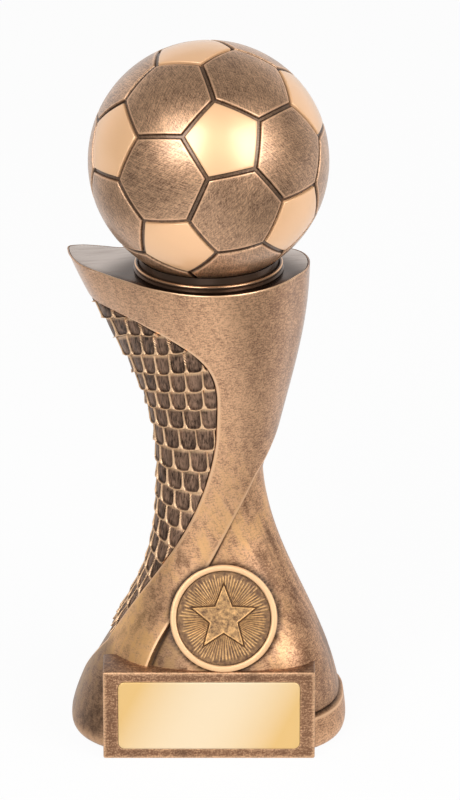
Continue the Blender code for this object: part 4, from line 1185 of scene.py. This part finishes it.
def deck_finish(colours):
    """Dark lacquered metal of the deck, paler to its tip, with faint brush streaks."""
    made = Finish("deck_bronze")
    flat = made.add("ShaderNodeVectorMath", {"operation": "MULTIPLY"}, {0: made.place(), 1: (1.0, 1.0, 0.0)})
    reach = made.add("ShaderNodeVectorMath", {"operation": "LENGTH"}, {0: flat}, "Value")
    depth = made.add("ShaderNodeSeparateXYZ", {}, {"Vector": flat}, "Y")
    streak = made.grain((90.0, 700.0, 700.0), (0, 0, -14), detail=3.0)
    # Painted reflection: dark by the ball, which the deck mirrors, pale at the tip and back, where it mirrors
    # the white room.
    colour = made.blend((reach + depth * 0.6).rise(0.019, 0.032), colours.lacquer, colours.deck)
    colour = made.blend((streak.rise(0.45, 0.75) * 0.35).clip(), colour, colours.umber)
    return made.close(
        Base_Color=colour,
        Metallic=0.9,
        Roughness=(0.12 + streak * 0.14).clip(),
        Normal=made.bump(streak, 0.01, 0.3),
    )


def lacquer_finish(colours):
    """Glossy black-brown lacquer with a thin bright line along the lip: rubbed copper and a painted
    highlight.
    """
    made = Finish("collar_lacquer")
    cloud = made.grain(90.0, detail=3.0)
    wear_and_highlight = made.mask("wear_and_highlight")
    colour = made.blend(cloud.rise(0.4, 0.8) * 0.5, colours.lacquer, colours.umber)
    # The lip's bright line: rubbed copper and a painted highlight.
    colour = made.blend(wear_and_highlight, colour, colours.rubbed)
    return made.close(
        Base_Color=colour,
        Metallic=(0.6 + wear_and_highlight * 0.3).clip(),
        Roughness=(0.14 + cloud * 0.12).clip(),
    )


def scale_finish(colours):
    """Dark bronze scales with light gold rubbed along every ridge and lower edge."""
    made = Finish("scale_bronze")
    fleck = made.grain((2100.0, 2100.0, 520.0), detail=3.0, roughness=0.65)
    cloud = made.grain(380.0, detail=3.0)
    wear_and_highlight, shade = made.mask("wear_and_highlight"), made.mask("shade")
    mottle = (cloud * 0.3 + fleck * 0.75 + made.mask("tone") * 0.08).rise(0.38, 0.7)
    ground = made.blend(mottle, colours.patina_and_shade, colours.hollow)
    rub = (wear_and_highlight.rise(0.15, 0.75) * (0.6 + fleck * 0.9)).clip()
    colour = made.blend(rub, ground, colours.ridge)
    colour = made.blend((shade * (1 - wear_and_highlight * 0.5) * 0.75).clip(), colour, colours.patina_and_shade)
    return made.close(
        Base_Color=colour,
        Metallic=0.75,
        Roughness=(0.34 + fleck * 0.2).clip(),
        Normal=made.bump(fleck * 0.6 + cloud * 0.6, 0.3, 0.9),
    )


def gold_finish(colours):
    """Plain satin gold of the medallion's ring."""
    made = Finish("ring_gold")
    grain = made.grain(1300.0, detail=3.0)
    cloud = made.grain(150.0, detail=2.0)
    colour = made.blend(cloud.rise(0.4, 0.7) * 0.3, colours.gold, colours.rubbed)
    return made.close(
        Base_Color=colour,
        Metallic=0.35,
        Roughness=(0.36 + grain * 0.14).clip(),
        Normal=made.bump(grain, 0.02, 0.3),
    )


def star_finish(colours):
    """Old gold of the insert: light rays and star outline over dark grooves, with mottled brown between."""
    made = Finish("star_gold")
    fleck = made.grain(1100.0, detail=3.0, roughness=0.7)
    cloud = made.grain(280.0, detail=3.0)
    wear_and_highlight, shade = made.mask("wear_and_highlight"), made.mask("shade")
    rub = (wear_and_highlight * 0.85 + (fleck - 0.5) * 1.8 + (cloud - 0.5) * 0.8 + 0.25).clip()
    colour = made.blend(rub, colours.umber, colours.star)
    colour = made.blend((shade * 0.8).clip(), colour, colours.umber)
    return made.close(
        Base_Color=colour,
        Metallic=0.5,
        Roughness=(0.38 + fleck * 0.15).clip(),
        Normal=made.bump(fleck, 0.05, 0.5),
    )


def plate_finish(colours):
    """Satin gold sheet: orange gold at both ends, with a pale painted reflection leaning across its middle.
    """
    made = Finish("plate_gold")
    across, up = made.axis("X"), made.axis("Z")
    # Painted reflection: a pale sweep of reflected light leans across the plate's middle.
    sweep = (across + 0.0005) * 38.0 - (up - PLINTH_MIDDLE * MM) * 19.0
    pale = 1 - (sweep * sweep * 1.4).clip()
    brush = made.grain((40.0, 40.0, 3000.0), detail=2.0)
    return made.close(
        Base_Color=made.blend(pale, colours.plate, colours.plate_reflection),
        Metallic=0.3,
        Roughness=(0.36 + brush * 0.1).clip(),
        Normal=made.bump(brush, 0.004, 0.2),
    )


def plain_finishes():
    """Finishes of the hidden pieces that stay as the CAD made them: zinc, felt and adhesive foam."""
    zinc = Finish("zinc_steel")
    spangle = zinc.grain(700.0, detail=3.0)
    tint = zinc.blend(spangle.rise(0.35, 0.65), *ZINC)
    zinc = zinc.close(Base_Color=tint, Metallic=1.0, Roughness=(0.28 + spangle * 0.2).clip())
    felt = Finish("black_felt")
    fibre = felt.grain(2200.0, detail=4.0, roughness=0.8)
    tint = felt.blend(fibre.rise(0.4, 0.7), *FELT)
    felt = felt.close(Base_Color=tint, Roughness=0.95, Normal=felt.bump(fibre, 0.3, 0.8))
    foam = Finish("adhesive_foam")
    cells = foam.grain(2600.0, detail=2.0)
    foam = foam.close(Base_Color=foam.blend(cells, *FOAM), Roughness=0.75, Normal=foam.bump(cells, 0.1, 0.4))
    return zinc, felt, foam


class TROPHY_OT_ball(bpy.types.Operator):
    """Builds the ball's bronze shell and its polished pentagons"""

    bl_idname = "trophy.ball"
    bl_label = "Ball"

    def execute(self, context):
        settings, colours = context.scene.trophy_ball, context.scene.trophy_colours
        grids, pockets = build_ball(settings)
        make_piece("panelled_ball", grids, ball_finish(colours), ["ball_shell"])
        copper = copper_finish(colours)
        inlays = sorted(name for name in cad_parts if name.startswith("pentagon_inlay"))
        centres = np.array([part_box(name) for name in inlays], float).mean(axis=1)
        aims = unit(centres / MM - (0, 0, BALL_HEIGHT))
        nearest = np.argmax(aims @ unit(pockets.mean(axis=1)).T, axis=1)
        for name, panel in zip(inlays, nearest):
            points, _ = panel_grid(pockets[panel : panel + 1], inlay_levels(settings), settings.radius)
            piece_name = name.replace("pentagon_inlay", "copper_pentagon")
            make_piece(piece_name, [(points + (0, 0, BALL_HEIGHT), {})], copper, [name])
        return {"FINISHED"}


class TROPHY_OT_top(bpy.types.Operator):
    """Builds the collar under the ball and the deck that it stands in"""

    bl_idname = "trophy.top"
    bl_label = "Collar and deck"

    def execute(self, context):
        settings, colours = context.scene.trophy_tower, context.scene.trophy_colours
        deck, collar = [build_deck(settings)], [build_collar(settings)]
        metal, lacquer = deck_finish(colours), lacquer_finish(colours)
        make_piece("lacquered_deck", deck, metal, ["top_deck"], close_rows=True)
        make_piece("ball_collar", collar, lacquer, ["seat_collar"], close_rows=True)
        return {"FINISHED"}


class TROPHY_OT_tower(bpy.types.Operator):
    """Builds the twisted tower with its winding band"""

    bl_idname = "trophy.tower"
    bl_label = "Tower"

    def execute(self, context):
        settings, colours = context.scene.trophy_tower, context.scene.trophy_colours
        looks = {"rubbing": 0.64, "speck_waves": 2500.0, "contrast": 1.35, "gilded": True}
        bronze = bronze_finish("tower_bronze", colours, **looks)
        make_piece("twisted_tower", [build_tower(settings)], bronze, ["tower_casting"])
        return {"FINISHED"}


class TROPHY_OT_scales(bpy.types.Operator):
    """Builds the panel of shingle scales"""

    bl_idname = "trophy.scales"
    bl_label = "Scales"

    def execute(self, context):
        settings, colours = context.scene.trophy_scales, context.scene.trophy_colours
        bronze = scale_finish(colours)
        make_piece("shingle_scales", [build_scales(settings)], bronze, ["scale_panel"])
        return {"FINISHED"}


class TROPHY_OT_medallion(bpy.types.Operator):
    """Builds the medallion's ring and its star insert"""

    bl_idname = "trophy.medallion"
    bl_label = "Medallion"

    def execute(self, context):
        settings, colours = context.scene.trophy_medal, context.scene.trophy_colours
        ring, disc = [build_medal_cup(settings)], [build_star_disc(settings)]
        make_piece("medallion_ring", ring, gold_finish(colours), ["medallion_cup"])
        make_piece("star_insert", disc, star_finish(colours), ["star_disc"])
        return {"FINISHED"}


class TROPHY_OT_plinth(bpy.types.Operator):
    """Builds the plinth and its engraving plate"""

    bl_idname = "trophy.plinth"
    bl_label = "Plinth and plate"

    def execute(self, context):
        settings, colours = context.scene.trophy_plate, context.scene.trophy_colours
        looks = {"rubbing": 0.12, "speck_waves": 2000.0, "contrast": 1.7, "gilded": False}
        bronze = bronze_finish("plinth_bronze", colours, **looks)
        make_piece("plinth_block", [build_plinth(settings)], bronze, ["plinth"])
        gold = plate_finish(colours)
        make_piece("name_plate", [build_plate(settings)], gold, ["engraving_plate"])
        return {"FINISHED"}


class TROPHY_OT_hidden(bpy.types.Operator):
    """Gives the CAD pieces that stay their finishes: rod, washer, nut, dowels, felt and adhesive"""

    bl_idname = "trophy.hidden"
    bl_label = "Hidden pieces"

    def execute(self, context):
        zinc, felt, foam = plain_finishes()
        chosen = {"base_pad": felt, "plate_adhesive": foam, "disc_adhesive": foam}
        for name in ("tie_rod", "rod_washer", "rod_nut", "plinth_dowel_left", "plinth_dowel_right"):
            chosen[name] = zinc
        for name, finish in chosen.items():
            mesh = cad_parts[name].data
            mesh.materials.clear()
            mesh.materials.append(finish)
        return {"FINISHED"}


class TROPHY_OT_stage(bpy.types.Operator):
    """Sets the floor, the soft light and the camera"""

    bl_idname = "trophy.stage"
    bl_label = "Stage"

    def execute(self, context):
        studio = context.scene.trophy_studio
        context.scene.view_settings.view_transform = "Standard"
        self.floor(context)
        self.room(context, studio)
        for name, place, share in LAMPS:
            self.softbox(context, name, Vector(place), studio.key * share)
        self.camera(context, studio)
        return {"FINISHED"}

    def floor(self, context):
        """A wide pale floor: white to the camera, dimmed by shadow, with darker sides in reflections."""
        half = FLOOR_HALF
        mesh = bpy.data.meshes.new("pale_floor")
        corners = [(-half, -half, 0), (half, -half, 0), (half, half, 0), (-half, half, 0)]
        mesh.from_pydata(corners, [], [(0, 1, 2, 3)])
        paint = Finish("floor_white")
        matt = paint.add("ShaderNodeBsdfDiffuse", {}, {"Color": FLOOR_GREY})
        camera, glossy, through = paint.rays()
        across, depth = paint.axis("X"), paint.axis("Y")
        right = across.rise(0.03, 0.15) * depth.rise(0.05, -0.06) * 0.62
        left = across.rise(-0.12, -0.28) * depth.rise(0.3, 0.1) * 0.6
        mirrored = 0.9 - right - left
        level = (camera + through + glossy * mirrored).clip()
        seen = ((camera + through) * 0.94 + glossy * 0.95).clip()
        glow = paint.add("ShaderNodeEmission", {}, {"Color": paint.blend(level, BLACK, WHITE)})
        paint.end(paint.add("ShaderNodeMixShader", {}, {0: seen, 1: matt, 2: glow}))
        mesh.materials.append(paint.owner)
        floor = bpy.data.objects.new("pale_floor", mesh)
        context.scene.collection.objects.link(floor)

    def room(self, context, studio):
        """White for the eye; in reflections white behind the trophy and dim before and above it."""
        world = bpy.data.worlds.new("white_room")
        context.scene.world = world
        paint = Finish("white_room", world)
        way = paint.add("ShaderNodeTexCoord", {}, {}, "Generated")
        depth = paint.add("ShaderNodeSeparateXYZ", {}, {"Vector": way}, "Y")
        up = paint.add("ShaderNodeSeparateXYZ", {}, {"Vector": way}, "Z")
        camera, glossy, through = paint.rays()
        backdrop = depth.rise(0.15, 0.75) * (1 - up.rise(0.4, 0.56) * 0.7)
        mirrored = studio.front + backdrop * (1 - studio.front)
        seen = (camera + through).clip()
        level = seen + (1 - seen) * (glossy * mirrored + (1 - glossy) * studio.fill)
        paint.end(paint.add("ShaderNodeBackground", {}, {"Color": paint.blend(level, BLACK, WHITE)}))

    def softbox(self, context, name, place, power):
        """A square area lamp that faces the trophy."""
        lamp = bpy.data.lights.new(name, "AREA")
        lamp.shape = "SQUARE"
        lamp.size = LAMP_SIZE
        lamp.energy = power
        box = bpy.data.objects.new(name, lamp)
        box.location = place
        box.rotation_euler = (LAMP_AIM - place).to_track_quat("-Z", "Y").to_euler()
        context.scene.collection.objects.link(box)

    def camera(self, context, studio):
        """The photograph's viewpoint: straight on, a little above, through a long lens."""
        data = bpy.data.cameras.new("view")
        data.sensor_fit = "VERTICAL"
        data.sensor_height = SENSOR_HEIGHT
        data.lens = studio.lens
        camera = bpy.data.objects.new("view", data)
        away = Vector((0.0, -math.cos(studio.pitch), math.sin(studio.pitch))) * studio.distance
        camera.location = Vector(studio.aim) + away
        camera.rotation_euler = (math.pi / 2 - studio.pitch, 0.0, 0.0)
        context.scene.collection.objects.link(camera)
        context.scene.camera = camera


class TROPHY_PT_sidebar(bpy.types.Panel):
    """Lists the trophy's pieces"""

    bl_idname = "TROPHY_PT_sidebar"
    bl_label = "Football trophy"
    bl_space_type = "VIEW_3D"
    bl_region_type = "UI"
    bl_category = "Trophy"

    def draw(self, context):
        for operator in PIECES:
            self.layout.operator(operator.bl_idname)
        for name in SETTINGS:
            group = getattr(context.scene, name)
            box = self.layout.box()
            for key in group.__annotations__:
                box.prop(group, key)


SETTINGS = {
    "trophy_ball": TrophyBall,
    "trophy_tower": TrophyTower,
    "trophy_scales": TrophyScales,
    "trophy_medal": TrophyMedal,
    "trophy_plate": TrophyPlate,
    "trophy_colours": TrophyColours,
    "trophy_studio": TrophyStudio,
}
PIECES = (
    TROPHY_OT_stage,
    TROPHY_OT_tower,
    TROPHY_OT_scales,
    TROPHY_OT_top,
    TROPHY_OT_ball,
    TROPHY_OT_medallion,
    TROPHY_OT_plinth,
    TROPHY_OT_hidden,
)


def register():
    """Registers the settings, the operators and the panel."""
    for name, group in SETTINGS.items():
        bpy.utils.register_class(group)
        setattr(bpy.types.Scene, name, bpy.props.PointerProperty(type=group))
    for kind in (*PIECES, TROPHY_PT_sidebar):
        bpy.utils.register_class(kind)


def unregister():
    """Takes away what register() added."""
    for kind in reversed((*PIECES, TROPHY_PT_sidebar)):
        bpy.utils.unregister_class(kind)
    for name, group in SETTINGS.items():
        delattr(bpy.types.Scene, name)
        bpy.utils.unregister_class(group)


def main():
    """Registers the add-on, then builds every piece in order."""
    register()
    for kind in PIECES:
        group, name = kind.bl_idname.split(".")
        getattr(getattr(bpy.ops, group), name)()
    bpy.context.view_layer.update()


if __name__ == "__main__":
    main()
